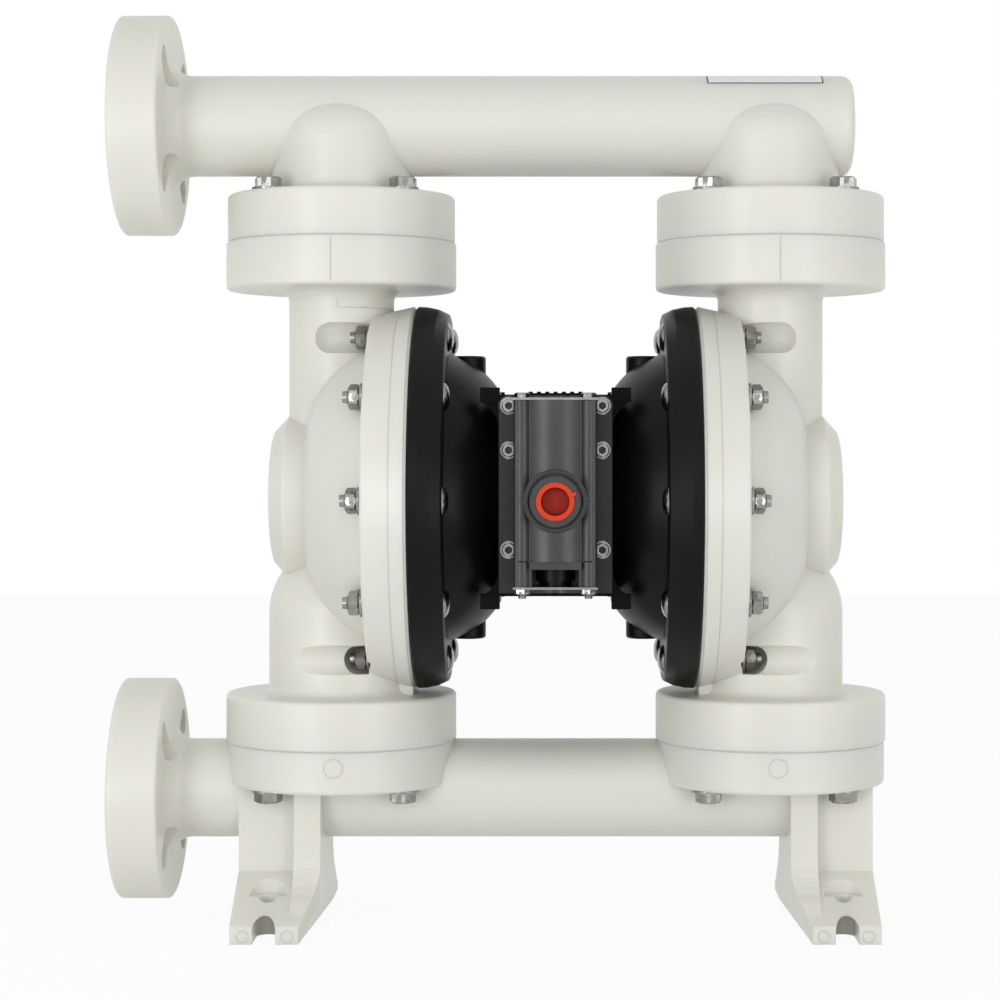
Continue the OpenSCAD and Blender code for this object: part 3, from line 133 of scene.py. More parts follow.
world = bpy.data.worlds.new("studio")
scene.world = world
world.use_nodes = True
sky = world.node_tree
sky_light = sky.nodes["Background"]
sky_light.inputs["Color"].default_value = (1, 1, 1, 1)
sky_light.inputs["Strength"].default_value = 0.60
sky_white = sky.nodes.new("ShaderNodeBackground")
sky_white.inputs["Color"].default_value = (1, 1, 1, 1)
sky_white.inputs["Strength"].default_value = 1.0
sky_mix = sky.nodes.new("ShaderNodeMixShader")
sky.links.new(seen_directly(sky), sky_mix.inputs["Fac"])
sky.links.new(sky_light.outputs[0], sky_mix.inputs[1])
sky.links.new(sky_white.outputs[0], sky_mix.inputs[2])
sky.links.new(sky_mix.outputs[0], sky.nodes["World Output"].inputs["Surface"])

# Inlet manifold: one heavy moulding of natural polypropylene, with the suction
# flange, the pipe, two joint discs and both feet. Milky, slightly translucent,
# with round ejector marks.


def noise(tree, scale, detail, rough, low, high):
    """A noise texture over the object, mapped to the range low to high."""
    where = tree.nodes.new("ShaderNodeTexCoord")
    tex = tree.nodes.new("ShaderNodeTexNoise")
    tex.inputs["Scale"].default_value = scale
    tex.inputs["Detail"].default_value = detail
    tex.inputs["Roughness"].default_value = rough
    tree.links.new(where.outputs["Object"], tex.inputs["Vector"])
    span = tree.nodes.new("ShaderNodeMapRange")
    span.inputs["From Min"].default_value = 0.0
    span.inputs["From Max"].default_value = 1.0
    span.inputs["To Min"].default_value = low
    span.inputs["To Max"].default_value = high
    tree.links.new(tex.outputs["Fac"], span.inputs["Value"])
    return span.outputs["Result"]


def two_tints(tree, factor, first, second):
    """A colour between two tints, by a factor from 0 to 1."""
    mix = tree.nodes.new("ShaderNodeMix")
    mix.data_type = "RGBA"
    mix.inputs[6].default_value = (*first, 1)
    mix.inputs[7].default_value = (*second, 1)
    tree.links.new(factor, mix.inputs[0])
    return mix.outputs[2]


def grain_bump(tree, height, depth, strength):
    """A surface direction that a height from 0 to 1 roughens by that depth."""
    bump = tree.nodes.new("ShaderNodeBump")
    bump.inputs["Strength"].default_value = strength
    bump.inputs["Distance"].default_value = depth
    tree.links.new(height, bump.inputs["Height"])
    return bump.outputs["Normal"]


def moulded_plastic(name, tint, other_tint, gloss, grain, patch_scale=9.0, glow=0.0, shine=0.5):
    """Moulded plastic: two close tints in broad patches, uneven gloss, and a fine
    grain. gloss is the roughness range; grain is (scale, depth in metres, strength)."""
    mat = bpy.data.materials.new(name)
    mat.use_nodes = True
    tree = mat.node_tree
    shader = tree.nodes["Principled BSDF"]
    colour = two_tints(tree, noise(tree, patch_scale, 2, 0.5, 0, 1), tint, other_tint)
    tree.links.new(colour, shader.inputs["Base Color"])
    tree.links.new(noise(tree, 9, 2, 0.5, gloss[0], gloss[1]), shader.inputs["Roughness"])
    tree.links.new(
        grain_bump(tree, noise(tree, grain[0], 1, 0.5, 0, 1), grain[1], grain[2]),
        shader.inputs["Normal"])
    shader.inputs["IOR"].default_value = 1.49
    shader.inputs["Specular IOR Level"].default_value = shine
    if glow:
        shader.inputs["Subsurface Weight"].default_value = glow
        shader.inputs["Subsurface Radius"].default_value = (0.020, 0.018, 0.011)
        shader.inputs["Subsurface Scale"].default_value = 1.0
    return mat


def dress(material, *names):
    """Gives these CAD solids a finish."""
    for name in names:
        for slot in nodes[name].material_slots:
            slot.material = material


milky_white = moulded_plastic(
    "natural_polypropylene", (0.775, 0.765, 0.705), (0.760, 0.750, 0.685),
    (0.31, 0.39), (420, 0.00006, 0.06), patch_scale=3, glow=0.4)
dress(milky_white, "inlet_manifold")

SHARP_FROM = math.radians(32)


def finished(name, mesh, material):
    """An object that is smooth where its faces nearly agree and sharp elsewhere."""
    mesh.shade_smooth()
    mesh.set_sharp_from_angle(angle=SHARP_FROM)
    mesh.materials.append(material)
    obj = bpy.data.objects.new(name, mesh)
    scene.collection.objects.link(obj)
    return obj


def put(name, mesh, body, material):
    """A finished piece that rides on a body."""
    obj = finished(name, mesh, material)
    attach(obj, body)
    return obj


def bead(line, width, height, facing, closed=True):
    """Vertices and faces of a low raised bead along a line of points, a loop unless
    closed is False; facing gives the surface's outward direction at each point."""
    verts = []
    count = len(line)
    for i, p in enumerate(line):
        after = line[(i + 1) % count] if closed or i + 1 < count else p
        before = line[i - 1] if closed or i else p
        out = facing[i].normalized()
        side = (after - before).normalized().cross(out).normalized()
        verts += [p - side * width / 2 - out * height, p - side * width / 4 + out * height,
                  p + side * width / 4 + out * height, p + side * width / 2 - out * height]
    faces = []
    for i in range(count if closed else count - 1):
        a = 4 * i
        b = 4 * ((i + 1) % count)
        faces += [(a, b, b + 1, a + 1), (a + 1, b + 1, b + 2, a + 2),
                  (a + 2, b + 2, b + 3, a + 3), (a + 3, b + 3, b, a)]
    if not closed:
        last = 4 * (count - 1)
        faces += [(0, 1, 2, 3), (last + 3, last + 2, last + 1, last)]
    return verts, faces


def mark_on_drum(centre, radius, turn, height, mark_radius, steps=40):
    """A round mark on the side of an upright drum, turned from its front (-Y)."""
    loop = []
    facing = []
    for i in range(steps):
        a = math.tau * i / steps
        swing = turn + mark_radius * math.cos(a) / radius
        out = Vector((math.sin(swing), -math.cos(swing), 0))
        point = Vector((centre[0], centre[1], 0)) + out * radius
        loop.append(Vector((point.x, point.y, height + mark_radius * math.sin(a))))
        facing.append(out)
    return loop, facing


def mark_on_face(centre, out, mark_radius, steps=32):
    """A round mark on a flat face."""
    out = Vector(out).normalized()
    across = out.orthogonal().normalized()
    up = out.cross(across)
    loop = []
    for i in range(steps):
        a = math.tau * i / steps
        loop.append(Vector(centre) + (across * math.cos(a) + up * math.sin(a)) * mark_radius)
    return loop, [out] * steps


def mould_marks(name, marks, width=0.0006, height=0.00012, closed=True):
    """One piece from many raised lines, each given with its facing."""
    verts = []
    faces = []
    for line, facing in marks:
        more, rings = bead(line, width, height, facing, closed)
        faces += [tuple(v + len(verts) for v in face) for face in rings]
        verts += more
    mesh = bpy.data.meshes.new(name)
    mesh.from_pydata([tuple(v) for v in verts], [], faces)
    return put(name, mesh, "pump", milky_white)


COLUMN_X = 0.162
DISC_R = 0.0855
DISC_MARK_Z = 0.1265
DISC_MARK_R = 0.0068
FOOT_FRONT_Y = -0.087
FOOT_MARK_X = (0.1933, 0.2256)
FOOT_MARK_Z = 0.0056
FOOT_MARK_R = 0.0042

ejector_marks = [mark_on_drum((COLUMN_X, 0), DISC_R, -0.016, DISC_MARK_Z, DISC_MARK_R),
                 mark_on_drum((-COLUMN_X, 0), DISC_R, 0.02, DISC_MARK_Z, DISC_MARK_R)]
for side in (1, -1):
    for x in FOOT_MARK_X:
        place = (side * x, FOOT_FRONT_Y, FOOT_MARK_Z)
        ejector_marks.append(mark_on_face(place, (0, -1, 0), FOOT_MARK_R))
mould_marks("inlet_ejector_marks", ejector_marks)

# Inlet check valves: turned seat rings, white fluoropolymer balls and cord seals,
# dropped between the inlet manifold and the liquid caps.
ball_white = moulded_plastic(
    "white_fluoropolymer", (0.82, 0.82, 0.78), (0.80, 0.80, 0.75),
    (0.30, 0.42), (300, 0.0001, 0.08))
dress(milky_white, "seat_inlet_left", "seat_inlet_right")
dress(ball_white, "ball_inlet_left", "ball_inlet_right", "inlet_seals")

# Liquid caps: domed polypropylene mouldings with a round nose, an upper and a
# lower column, and a bolting flange. The same plastic as the manifolds, with the
# fine lines that the mould halves leave.
AXIS_Z = 0.3205
FLANGE_SEAM_X = 0.117
FLANGE_SEAM_R = 0.14146
CAP_DISC_R = 0.0865
CAP_DISC_HEIGHTS = (0.4780, 0.5100)
UPPER_COLUMN_R = 0.0395
COLUMN_STEP_Z = 0.4620
COLUMN_STEP_HEIGHTS = (0.4622, 0.4690)

dress(milky_white, "fluid_cap_left", "fluid_cap_right")


def ring_on_flange(x, radius, draft=0.22, steps=120):
    """The line that the two mould halves leave round a bolting flange."""
    slope = math.copysign(draft, x)
    line = []
    facing = []
    for i in range(steps):
        a = math.tau * i / steps
        out = Vector((0, math.cos(a), math.sin(a)))
        line.append(Vector((x, 0, AXIS_Z)) + out * radius)
        facing.append(out + Vector((slope, 0, 0)))
    return line, facing


def line_up_drum(x, radius, ends, steps=4):
    """An upright parting line at the front of a drum or column."""
    low, high = ends
    front = Vector((0, -1, 0))
    heights = [low + (high - low) * i / steps for i in range(steps + 1)]
    return [Vector((x, -radius, z)) for z in heights], [front] * (steps + 1)


def line_round_column(x, radius, height, turns, steps=24):
    """A level line part of the way round a column; turns are degrees from its front."""
    line = []
    facing = []
    for i in range(steps + 1):
        a = math.radians(turns[0] + (turns[1] - turns[0]) * i / steps)
        out = Vector((math.sin(a), -math.cos(a), 0))
        line.append(Vector((x, 0, height)) + out * radius)
        facing.append(out)
    return line, facing


mould_marks("liquid_cap_rings", [
    ring_on_flange(-FLANGE_SEAM_X, FLANGE_SEAM_R),
    ring_on_flange(FLANGE_SEAM_X, FLANGE_SEAM_R),
])
mould_marks("liquid_cap_partings", [
    line_up_drum(-COLUMN_X, CAP_DISC_R, CAP_DISC_HEIGHTS),
    line_up_drum(COLUMN_X, CAP_DISC_R, CAP_DISC_HEIGHTS),
    line_up_drum(-COLUMN_X, UPPER_COLUMN_R, COLUMN_STEP_HEIGHTS),
    line_round_column(-COLUMN_X, UPPER_COLUMN_R, COLUMN_STEP_Z, (0, 84)),
], width=0.0007, closed=False)

# Air caps: black glass-filled polypropylene dishes that back the diaphragms, each
# with a round boss above and below, screwed to the motor body from inside.
satin_black = moulded_plastic(
    "black_polypropylene", (0.0032, 0.0032, 0.0031), (0.0052, 0.0051, 0.0049),
    (0.30, 0.46), (700, 0.00018, 0.3), patch_scale=14, shine=0.14)
dress(satin_black, "air_cap_left", "air_cap_right")

# Motor body: a black moulded block between the air caps, with corner lugs, that
# carries the rods' bushes, the air passages and the exhaust.
matt_black = moulded_plastic(
    "matt_black_polypropylene", (0.0030, 0.0030, 0.0030), (0.0046, 0.0046, 0.0045),
    (0.5, 0.65), (900, 0.00015, 0.3), patch_scale=20, shine=0.08)
dress(matt_black, "motor_body")

# Seals of the motor: moulded nitrile rings pressed into grooves, soft lips round
# the rod, and the flat gasket behind the valve block.
seal_rubber = moulded_plastic(
    "nitrile_rubber", (0.012, 0.012, 0.012), (0.016, 0.016, 0.016),
    (0.5, 0.7), (500, 0.0001, 0.2))
dress(seal_rubber, "motor_hub_seals", "rod_seals", "spool_seals", "valve_gasket")

# Rods and bushes: a ground stainless diaphragm rod in brass bushes, and the thin
# pilot rod over it that the inner washers push.


def turned_metal(name, tint, other_tint, gloss, scratch):
    """Plain metal, uneven in tone and gloss, with fine turning marks of that scale."""
    mat = bpy.data.materials.new(name)
    mat.use_nodes = True
    tree = mat.node_tree
    shader = tree.nodes["Principled BSDF"]
    colour = two_tints(tree, noise(tree, 120, 4, 0.6, 0, 1), tint, other_tint)
    tree.links.new(colour, shader.inputs["Base Color"])
    tree.links.new(noise(tree, 300, 3, 0.6, gloss[0], gloss[1]), shader.inputs["Roughness"])
    tree.links.new(
        grain_bump(tree, noise(tree, scratch, 3, 0.6, 0, 1), 0.00008, 0.25), shader.inputs["Normal"])
    shader.inputs["Metallic"].default_value = 1.0
    return mat


stainless = turned_metal(
    "stainless_steel", (0.48, 0.47, 0.45), (0.13, 0.127, 0.12), (0.14, 0.34), 900)
brass = turned_metal(
    "turned_brass", (0.56, 0.38, 0.14), (0.50, 0.33, 0.12), (0.25, 0.40), 700)
aluminium = turned_metal(
    "turned_aluminium", (0.62, 0.63, 0.64), (0.55, 0.56, 0.57), (0.28, 0.42), 700)
dress(stainless, "diaphragm_rod", "pilot_rod", "rod_nut_left", "rod_nut_right", "air_cap_screws")
dress(brass, "rod_bushes", "pilot_bushes")
dress(aluminium, "inner_washer_left", "inner_washer_right")
dress(milky_white, "outer_washer_left", "outer_washer_right")

# Diaphragms: moulded black rubber discs with one rolled fold, clamped at the rim
# between an air cap and a liquid cap and at the middle between two washers. Each is
# laid out in eight sectors.
DIAPHRAGM_HUB_R = 0.0082
DIAPHRAGM_RIM_R = 0.1170
DIAPHRAGM_FACES_X = (0.1014, 0.1044)
FOLD_MIDDLE_R = 0.0755
FOLD_BEND_R = 0.0255
SECTORS = 8

diaphragm_rubber = moulded_plastic(
    "diaphragm_rubber", (0.014, 0.014, 0.0135), (0.020, 0.020, 0.019),
    (0.5, 0.75), (600, 0.0001, 0.25))


def diaphragm_side(face_x, sunk=0.001, steps=18):
    """One side of the section, from hub to rim, as (radius, X) points. The fold's
    round lies sunk below that side's flat face."""
    low = math.asin(sunk / FOLD_BEND_R)
    points = [(DIAPHRAGM_HUB_R, face_x)]
    for i in range(steps + 1):
        a = math.pi - low - (math.pi - 2 * low) * i / steps
        points.append((FOLD_MIDDLE_R + FOLD_BEND_R * math.cos(a),
                       face_x - sunk + FOLD_BEND_R * math.sin(a)))
    return points + [(DIAPHRAGM_RIM_R, face_x)]


def outward_mesh(name, verts, faces):
    """A mesh whose faces all look outward."""
    mesh = bpy.data.meshes.new(name)
    mesh.from_pydata(verts, [], faces)
    sheet = bmesh.new()
    sheet.from_mesh(mesh)
    bmesh.ops.recalc_face_normals(sheet, faces=sheet.faces)
    sheet.to_mesh(mesh)
    sheet.free()
    return mesh


def diaphragm_sector(side, middle, steps=6):
    """Vertices and faces of one sector, closed at both ends."""
    air = diaphragm_side(DIAPHRAGM_FACES_X[0])
    liquid = diaphragm_side(DIAPHRAGM_FACES_X[1])
    outline = air + list(reversed(liquid))
    count = len(outline)
    verts = []
    for i in range(steps + 1):
        a = middle + math.tau / SECTORS * (i / steps - 0.5)
        for r, x in outline:
            verts.append((side * x, -r * math.cos(a), AXIS_Z + r * math.sin(a)))
    faces = []
    for i in range(steps):
        for j in range(count):
            a = i * count + j
            b = i * count + (j + 1) % count
            faces.append((a, b, b + count, a + count))
    for start in (0, steps * count):
        for j in range(len(air) - 1):
            faces.append((start + j, start + j + 1, start + count - 2 - j, start + count - 1 - j))
    return verts, faces


def diaphragm(side, word):
    """All sectors of one diaphragm, each its own object, in place of the CAD one."""
    for k in range(SECTORS):
        middle = math.tau * k / SECTORS
        verts, faces = diaphragm_sector(side, middle)
        name = f"diaphragm_{word}_sector_{k + 1}"
        obj = finished(name, outward_mesh(name, verts, faces), diaphragm_rubber)
        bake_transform(obj)
        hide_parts(f"diaphragm_{word}")


diaphragm(-1, "left")
diaphragm(1, "right")

# Diaphragm joint fasteners: ten stainless carriage bolts a side, domed heads on
# the air cap, a plain washer and a hexagon nut on the liquid cap.
JOINT_BOLTS = 10
BOLT_CIRCLE_R = 0.125
BOLT_R = 0.005
HEAD_SEAT_X = 0.0798
NUT_SEAT_X = 0.1375
JOINT_WASHER_T = 0.002


def spun(profile, steps=32):
    """Vertices and faces of a closed turned shape about +Z, from (radius, height)
    points that start and end on the axis."""
    verts = [(0, 0, profile[0][1])]
    for radius, height in profile[1:-1]:
        for i in range(steps):
            a = math.tau * i / steps
            verts.append((radius * math.cos(a), radius * math.sin(a), height))
    verts.append((0, 0, profile[-1][1]))
    last = len(verts) - 1
    faces = []
    for i in range(steps):
        j = (i + 1) % steps
        faces.append((0, 1 + j, 1 + i))
        for k in range(len(profile) - 3):
            a = 1 + k * steps
            b = a + steps
            faces.append((a + i, a + j, b + j, b + i))
        top = 1 + (len(profile) - 3) * steps
        faces.append((top + i, top + j, last))
    return verts, faces


def hexed(flats, profile, hole=0.0, steps=48):
    """The same for a hexagon of that width across flats, with an optional hole.
    profile is (share, height) points. share is the radius that rounds the corners
    off, over half the flats: 1.155 keeps the full hexagon and 1 or less is round."""
    rings = []
    for share, height in profile:
        ring = []
        for i in range(steps):
            a = math.tau * i / steps
            off = (a + math.pi / 6) % (math.pi / 3) - math.pi / 6
            corner = flats / 2 / math.cos(off)
            radius = min(corner, share * flats / 2)
            ring.append((radius * math.cos(a), radius * math.sin(a), height))
        rings.append(ring)
    if hole:
        for height in (profile[-1][1], profile[0][1]):
            ring = []
            for i in range(steps):
                a = math.tau * i / steps
                ring.append((hole * math.cos(a), hole * math.sin(a), height))
            rings.append(ring)
    verts = [v for ring in rings for v in ring]
    faces = []
    count = len(rings)
    for k in range(count if hole else count - 1):
        a = k * steps
        b = ((k + 1) % count) * steps
        for i in range(steps):
            j = (i + 1) % steps
            faces.append((a + i, a + j, b + j, b + i))
    if not hole:
        faces.append(tuple(reversed(range(steps))))
        faces.append(tuple((count - 1) * steps + i for i in range(steps)))
    return verts, faces


def thread(radius, pitch, low, high):
    """Outline of a threaded stretch between two heights: one ridge per pitch."""
    points = []
    root = radius * 0.9
    turns = int((high - low) / pitch)
    for i in range(turns):
        base = low + i * pitch
        points += [(root, base), (radius, base + pitch * 0.4), (radius, base + pitch * 0.6)]
    points.append((root, low + turns * pitch))
    return points


def gather(name, shapes, body, material, replaced=()):
    """One piece from many placed copies: shapes is a list of (placing matrix,
    (vertices, faces))."""
    verts = []
    faces = []
    for place, (more, polygons) in shapes:
        faces += [tuple(v + len(verts) for v in face) for face in polygons]
        verts += [tuple(place @ Vector(v)) for v in more]
    obj = put(name, outward_mesh(name, verts, faces), body, material)
    if replaced:
        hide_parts(*replaced)
    return obj


def joint_places(side, seat_x):
    """Placing matrices round one diaphragm joint, +Z pointing away from the motor,
    each turned a little more than the last."""
    places = []
    turn = Vector((side, 0, 0)).to_track_quat("Z", "Y").to_matrix().to_4x4()
    for i in range(JOINT_BOLTS):
        a = math.tau * i / JOINT_BOLTS
        ahead = -BOLT_CIRCLE_R * math.cos(a)
        rise = -BOLT_CIRCLE_R * math.sin(a)
        at = Matrix.Translation((side * seat_x, ahead, AXIS_Z + rise))
        places.append(at @ turn @ Matrix.Rotation(0.35 * i, 4, "Z"))
    return places


carriage_head = [(0, -0.0045), (0.0035, -0.00435), (0.0066, -0.0036), (0.0088, -0.0023),
                 (0.0101, -0.0008), (0.0104, -0.0002), (0.0102, 0)]
carriage_bolt = spun(
    carriage_head + [(BOLT_R, 0), (BOLT_R, 0.0585)] + thread(BOLT_R, 0.0015, 0.0590, 0.0700)
    + [(0.0042, 0.0722), (0, 0.0722)])
joint_nut = hexed(
    0.016, [(0.92, 0), (1.155, 0.0014), (1.155, 0.0069), (0.92, 0.0083)], hole=0.0051)
joint_washer = hexed(
    0.04, [(0.485, 0), (0.5, 0.0004), (0.5, 0.0016), (0.485, JOINT_WASHER_T)], hole=0.0052)
for side, word in ((-1, "left"), (1, "right")):
    heads = joint_places(side, HEAD_SEAT_X)
    seats = joint_places(side, NUT_SEAT_X)
    gather(f"carriage_bolts_{word}", [(m, carriage_bolt) for m in heads], "pump", stainless,
           [f"diaphragm_bolts_{word}"])
    gather(f"joint_washers_{word}", [(m, joint_washer) for m in seats], "pump", stainless,
           [f"diaphragm_washers_{word}"])
    lifted = [m @ Matrix.Translation((0, 0, JOINT_WASHER_T)) for m in seats]
    gather(f"joint_nuts_{word}", [(m, joint_nut) for m in lifted], "pump", stainless,
           [f"diaphragm_nuts_{word}"])

# Valve block and end cap: dark grey glass-filled plastic, a grainy moulding with
# ribs, round columns over the tie bolts and a crowned front panel painted paler
# than the black flange behind it, a painted sheen. Bolted to the motor body.
valve_grey_with_painted_sheen = moulded_plastic(
    "valve_plastic_with_painted_sheen", (0.030, 0.0305, 0.0315), (0.052, 0.053, 0.055),
    (0.26, 0.38), (1300, 0.0003, 0.4), patch_scale=60, shine=0.42)


def fade(tree, axis, near, far):
    """1 below near and 0 beyond far, by distance from the middle along one axis."""
    where = tree.nodes.new("ShaderNodeTexCoord")
    split = tree.nodes.new("ShaderNodeSeparateXYZ")
    tree.links.new(where.outputs["Object"], split.inputs[0])
    size = tree.nodes.new("ShaderNodeMath")
    size.operation = "ABSOLUTE"
    tree.links.new(split.outputs[axis], size.inputs[0])
    span = tree.nodes.new("ShaderNodeMapRange")
    span.inputs["From Min"].default_value = near
    span.inputs["From Max"].default_value = far
    span.inputs["To Min"].default_value = 1.0
    span.inputs["To Max"].default_value = 0.0
    tree.links.new(size.outputs[0], span.inputs["Value"])
    return span.outputs["Result"]


def tinted_beyond(material, axis, near, far, tint):
    """Lays another tint over a finish where it lies beyond far from the middle."""
    tree = material.node_tree
    shader = tree.nodes["Principled BSDF"]
    first = shader.inputs["Base Color"].links[0].from_socket
    mix = tree.nodes.new("ShaderNodeMix")
    mix.data_type = "RGBA"
    mix.inputs[6].default_value = (*tint, 1)
    tree.links.new(fade(tree, axis, near, far), mix.inputs[0])
    tree.links.new(first, mix.inputs[7])
    tree.links.new(mix.outputs[2], shader.inputs["Base Color"])


PAINTED_SHEEN_EDGE_X = (0.0290, 0.0302)
FLANGE_BLACK = (0.0035, 0.0035, 0.0036)
TIE_X = 0.0236
TIE_COLUMN_Y = -0.1269
TIE_COLUMN_R = 0.0059
BLOCK_COLUMN_ENDS = (0.2783, 0.3914)
END_CAP_COLUMN_ENDS = (0.2601, 0.2777)
EDGE_EASE = 0.0004
SEAM_HALF_WIDTH = 0.0003
SEAM_DEPTH = 0.0002

# Past the panel's edge the flange is tinted black; the paler grey kept on the front panel is a
# painted sheen.
tinted_beyond(valve_grey_with_painted_sheen, "X", *PAINTED_SHEEN_EDGE_X, FLANGE_BLACK)
dress(valve_grey_with_painted_sheen, "valve_block", "valve_end_cap")
dress(satin_black, "valve_end_plug", "valve_top_plug")
dress(stainless, "valve_sleeve")
dress(aluminium, "valve_spool")


def tie_column(ends, seam=None):
    """A round column with eased ends and, where asked, a fine mould seam round it."""
    low, high = ends
    r = TIE_COLUMN_R
    outline = [(0, low), (r - EDGE_EASE, low), (r, low + EDGE_EASE)]
    if seam:
        outline += [(r, seam - SEAM_HALF_WIDTH), (r - SEAM_DEPTH, seam), (r, seam + SEAM_HALF_WIDTH)]
    return spun(outline + [(r, high - EDGE_EASE), (r - EDGE_EASE, high), (0, high)])


columns = [Matrix.Translation((s * TIE_X, TIE_COLUMN_Y, 0)) for s in (-1, 1)]
gather("valve_columns", [(m, tie_column(BLOCK_COLUMN_ENDS, AXIS_Z)) for m in columns],
       "pump", valve_grey_with_painted_sheen)
gather("end_cap_columns", [(m, tie_column(END_CAP_COLUMN_ENDS)) for m in columns],
       "pump", valve_grey_with_painted_sheen)

# Valve hardware: two bright plates drawn together by two tie bolts, and six
# socket screws with washers that hold the block to the body.
TIE_R = 0.003
SPOOL_Y = -0.106
TOP_PLATE_Z = AXIS_Z + 0.0726
LOW_PLATE_Z = AXIS_Z - 0.0621
SCREW_X = 0.0335
SCREW_HEIGHTS = (0.0674, 0.0356, -0.0357)
WASHER_FACE_Y = -0.0947
SCREW_R = 0.003
SCREW_WASHER_T = 0.0012
HEAD_STEPS = 48

# A dark steel for the screws' sockets: painted shade deep inside them.
socket_painted_shade_steel = turned_metal(
    "socket_painted_shade_steel", (0.055, 0.054, 0.052), (0.030, 0.030, 0.030), (0.30, 0.45), 900)
dress(stainless, "valve_plate_top", "valve_plate_bottom")
tie_bolt = spun(
    [(0, -0.1427), (0.0024, -0.1427)] + thread(TIE_R, 0.001, -0.1422, -0.1322)
    + [(TIE_R, -0.132), (TIE_R, -0.0005), (0, -0.0005)])
tie_head = hexed(0.01, [(1.155, 0), (1.155, 0.0032), (0.92, 0.004)])
tie_nut = hexed(0.01, [(0.92, -0.005), (1.155, -0.0042), (1.155, -0.0008), (0.92, 0)], hole=0.0031)
uppers = [Matrix.Translation((s * TIE_X, SPOOL_Y, TOP_PLATE_Z)) @ Matrix.Rotation(0.4 + s, 4, "Z")
          for s in (-1, 1)]
lowers = [Matrix.Translation((s * TIE_X, SPOOL_Y, LOW_PLATE_Z)) @ Matrix.Rotation(0.2 + s, 4, "Z")
          for s in (-1, 1)]
gather("tie_bolts", [(m, tie_bolt) for m in uppers] + [(m, tie_head) for m in uppers],
       "pump", stainless, ["valve_tie_bolts"])
gather("tie_nuts", [(m, tie_nut) for m in lowers],
       "pump", stainless, ["valve_tie_nuts"])


def socket_head(radius, height, flats, depth, ease=0.0007):
    """A cylinder head with a rounded rim and a hexagon socket, face up. Its faces
    are four bands, the last of them the socket's wall, then the seat and the
    socket's floor."""
    angles = [math.tau * i / HEAD_STEPS for i in range(HEAD_STEPS)]
    rings = []
    for r, h in ((radius, 0), (radius, height - ease), (radius - ease, height)):
        rings.append([(r * math.cos(a), r * math.sin(a), h) for a in angles])
    for h in (height, height - depth):
        ring = []
        for a in angles:
            off = (a + math.pi / 6) % (math.pi / 3) - math.pi / 6
            r = flats / 2 / math.cos(off)
            ring.append((r * math.cos(a), r * math.sin(a), h))
        rings.append(ring)
    verts = [v for ring in rings for v in ring]
    faces = []
    for k in range(len(rings) - 1):
        a = k * HEAD_STEPS
        b = a + HEAD_STEPS
        for i in range(HEAD_STEPS):
            j = (i + 1) % HEAD_STEPS
            faces.append((a + i, a + j, b + j, b + i))
    faces.append(tuple(reversed(range(HEAD_STEPS))))
    faces.append(tuple((len(rings) - 1) * HEAD_STEPS + i for i in range(HEAD_STEPS)))
    return verts, faces


cap_screw = socket_head(0.005, 0.006, 0.005, 0.0034)
cap_screw_shank = spun([(0, -0.0265), (SCREW_R, -0.0265), (SCREW_R, 0.0002), (0, 0.0002)])
screw_washer = hexed(
    0.026, [(0.47, 0), (0.5, 0.0003), (0.5, 0.0009), (0.47, SCREW_WASHER_T)], hole=0.0032)
face_on = Vector((0, -1, 0)).to_track_quat("Z", "Y").to_matrix().to_4x4()
screw_seats = []
for side in (-1, 1):
    for rise in SCREW_HEIGHTS:
        place = Matrix.Translation((side * SCREW_X, WASHER_FACE_Y, AXIS_Z + rise))
        screw_seats.append(place @ face_on @ Matrix.Rotation(3 * rise + side, 4, "Z"))
screws = gather("valve_cap_screws",
                [(m, cap_screw) for m in screw_seats] + [(m, cap_screw_shank) for m in screw_seats],
                "pump", stainless, ["valve_screws"])
# The socket's wall and floor take the dark steel, a painted shade in the deep hexagon socket.
screws.data.materials.append(socket_painted_shade_steel)
head_faces = len(cap_screw[1])
socket_faces = list(range(3 * HEAD_STEPS, 4 * HEAD_STEPS)) + [head_faces - 1]
for k in range(len(screw_seats)):
    for face in socket_faces:
        screws.data.polygons[k * head_faces + face].material_index = 1
sunk_seats = [m @ Matrix.Translation((0, 0, -SCREW_WASHER_T)) for m in screw_seats]
gather("valve_cap_washers", [(m, screw_washer) for m in sunk_seats],
       "pump", stainless, ["valve_screw_washers"])

# Outlet manifold: the twin of the inlet one, with ball chambers that bulge through
# the pipe above each joint disc.
dress(milky_white, "outlet_manifold", "seat_outlet_left", "seat_outlet_right")
dress(ball_white, "ball_outlet_left", "ball_outlet_right", "outlet_seals")

# Manifold bolts: four stainless M12 hexagon bolts with washers at each joint disc,
# screwed into brass inserts moulded in the liquid caps.
JOINT_BOLT_R = 0.006
JOINT_BOLT_OFF = 0.0495
JOINT_BOLT_CORNERS = ((1, 1), (-1, 1), (-1, -1), (1, -1))
OUTLET_SEAT_Z = 0.5494
INLET_SEAT_Z = 0.1046

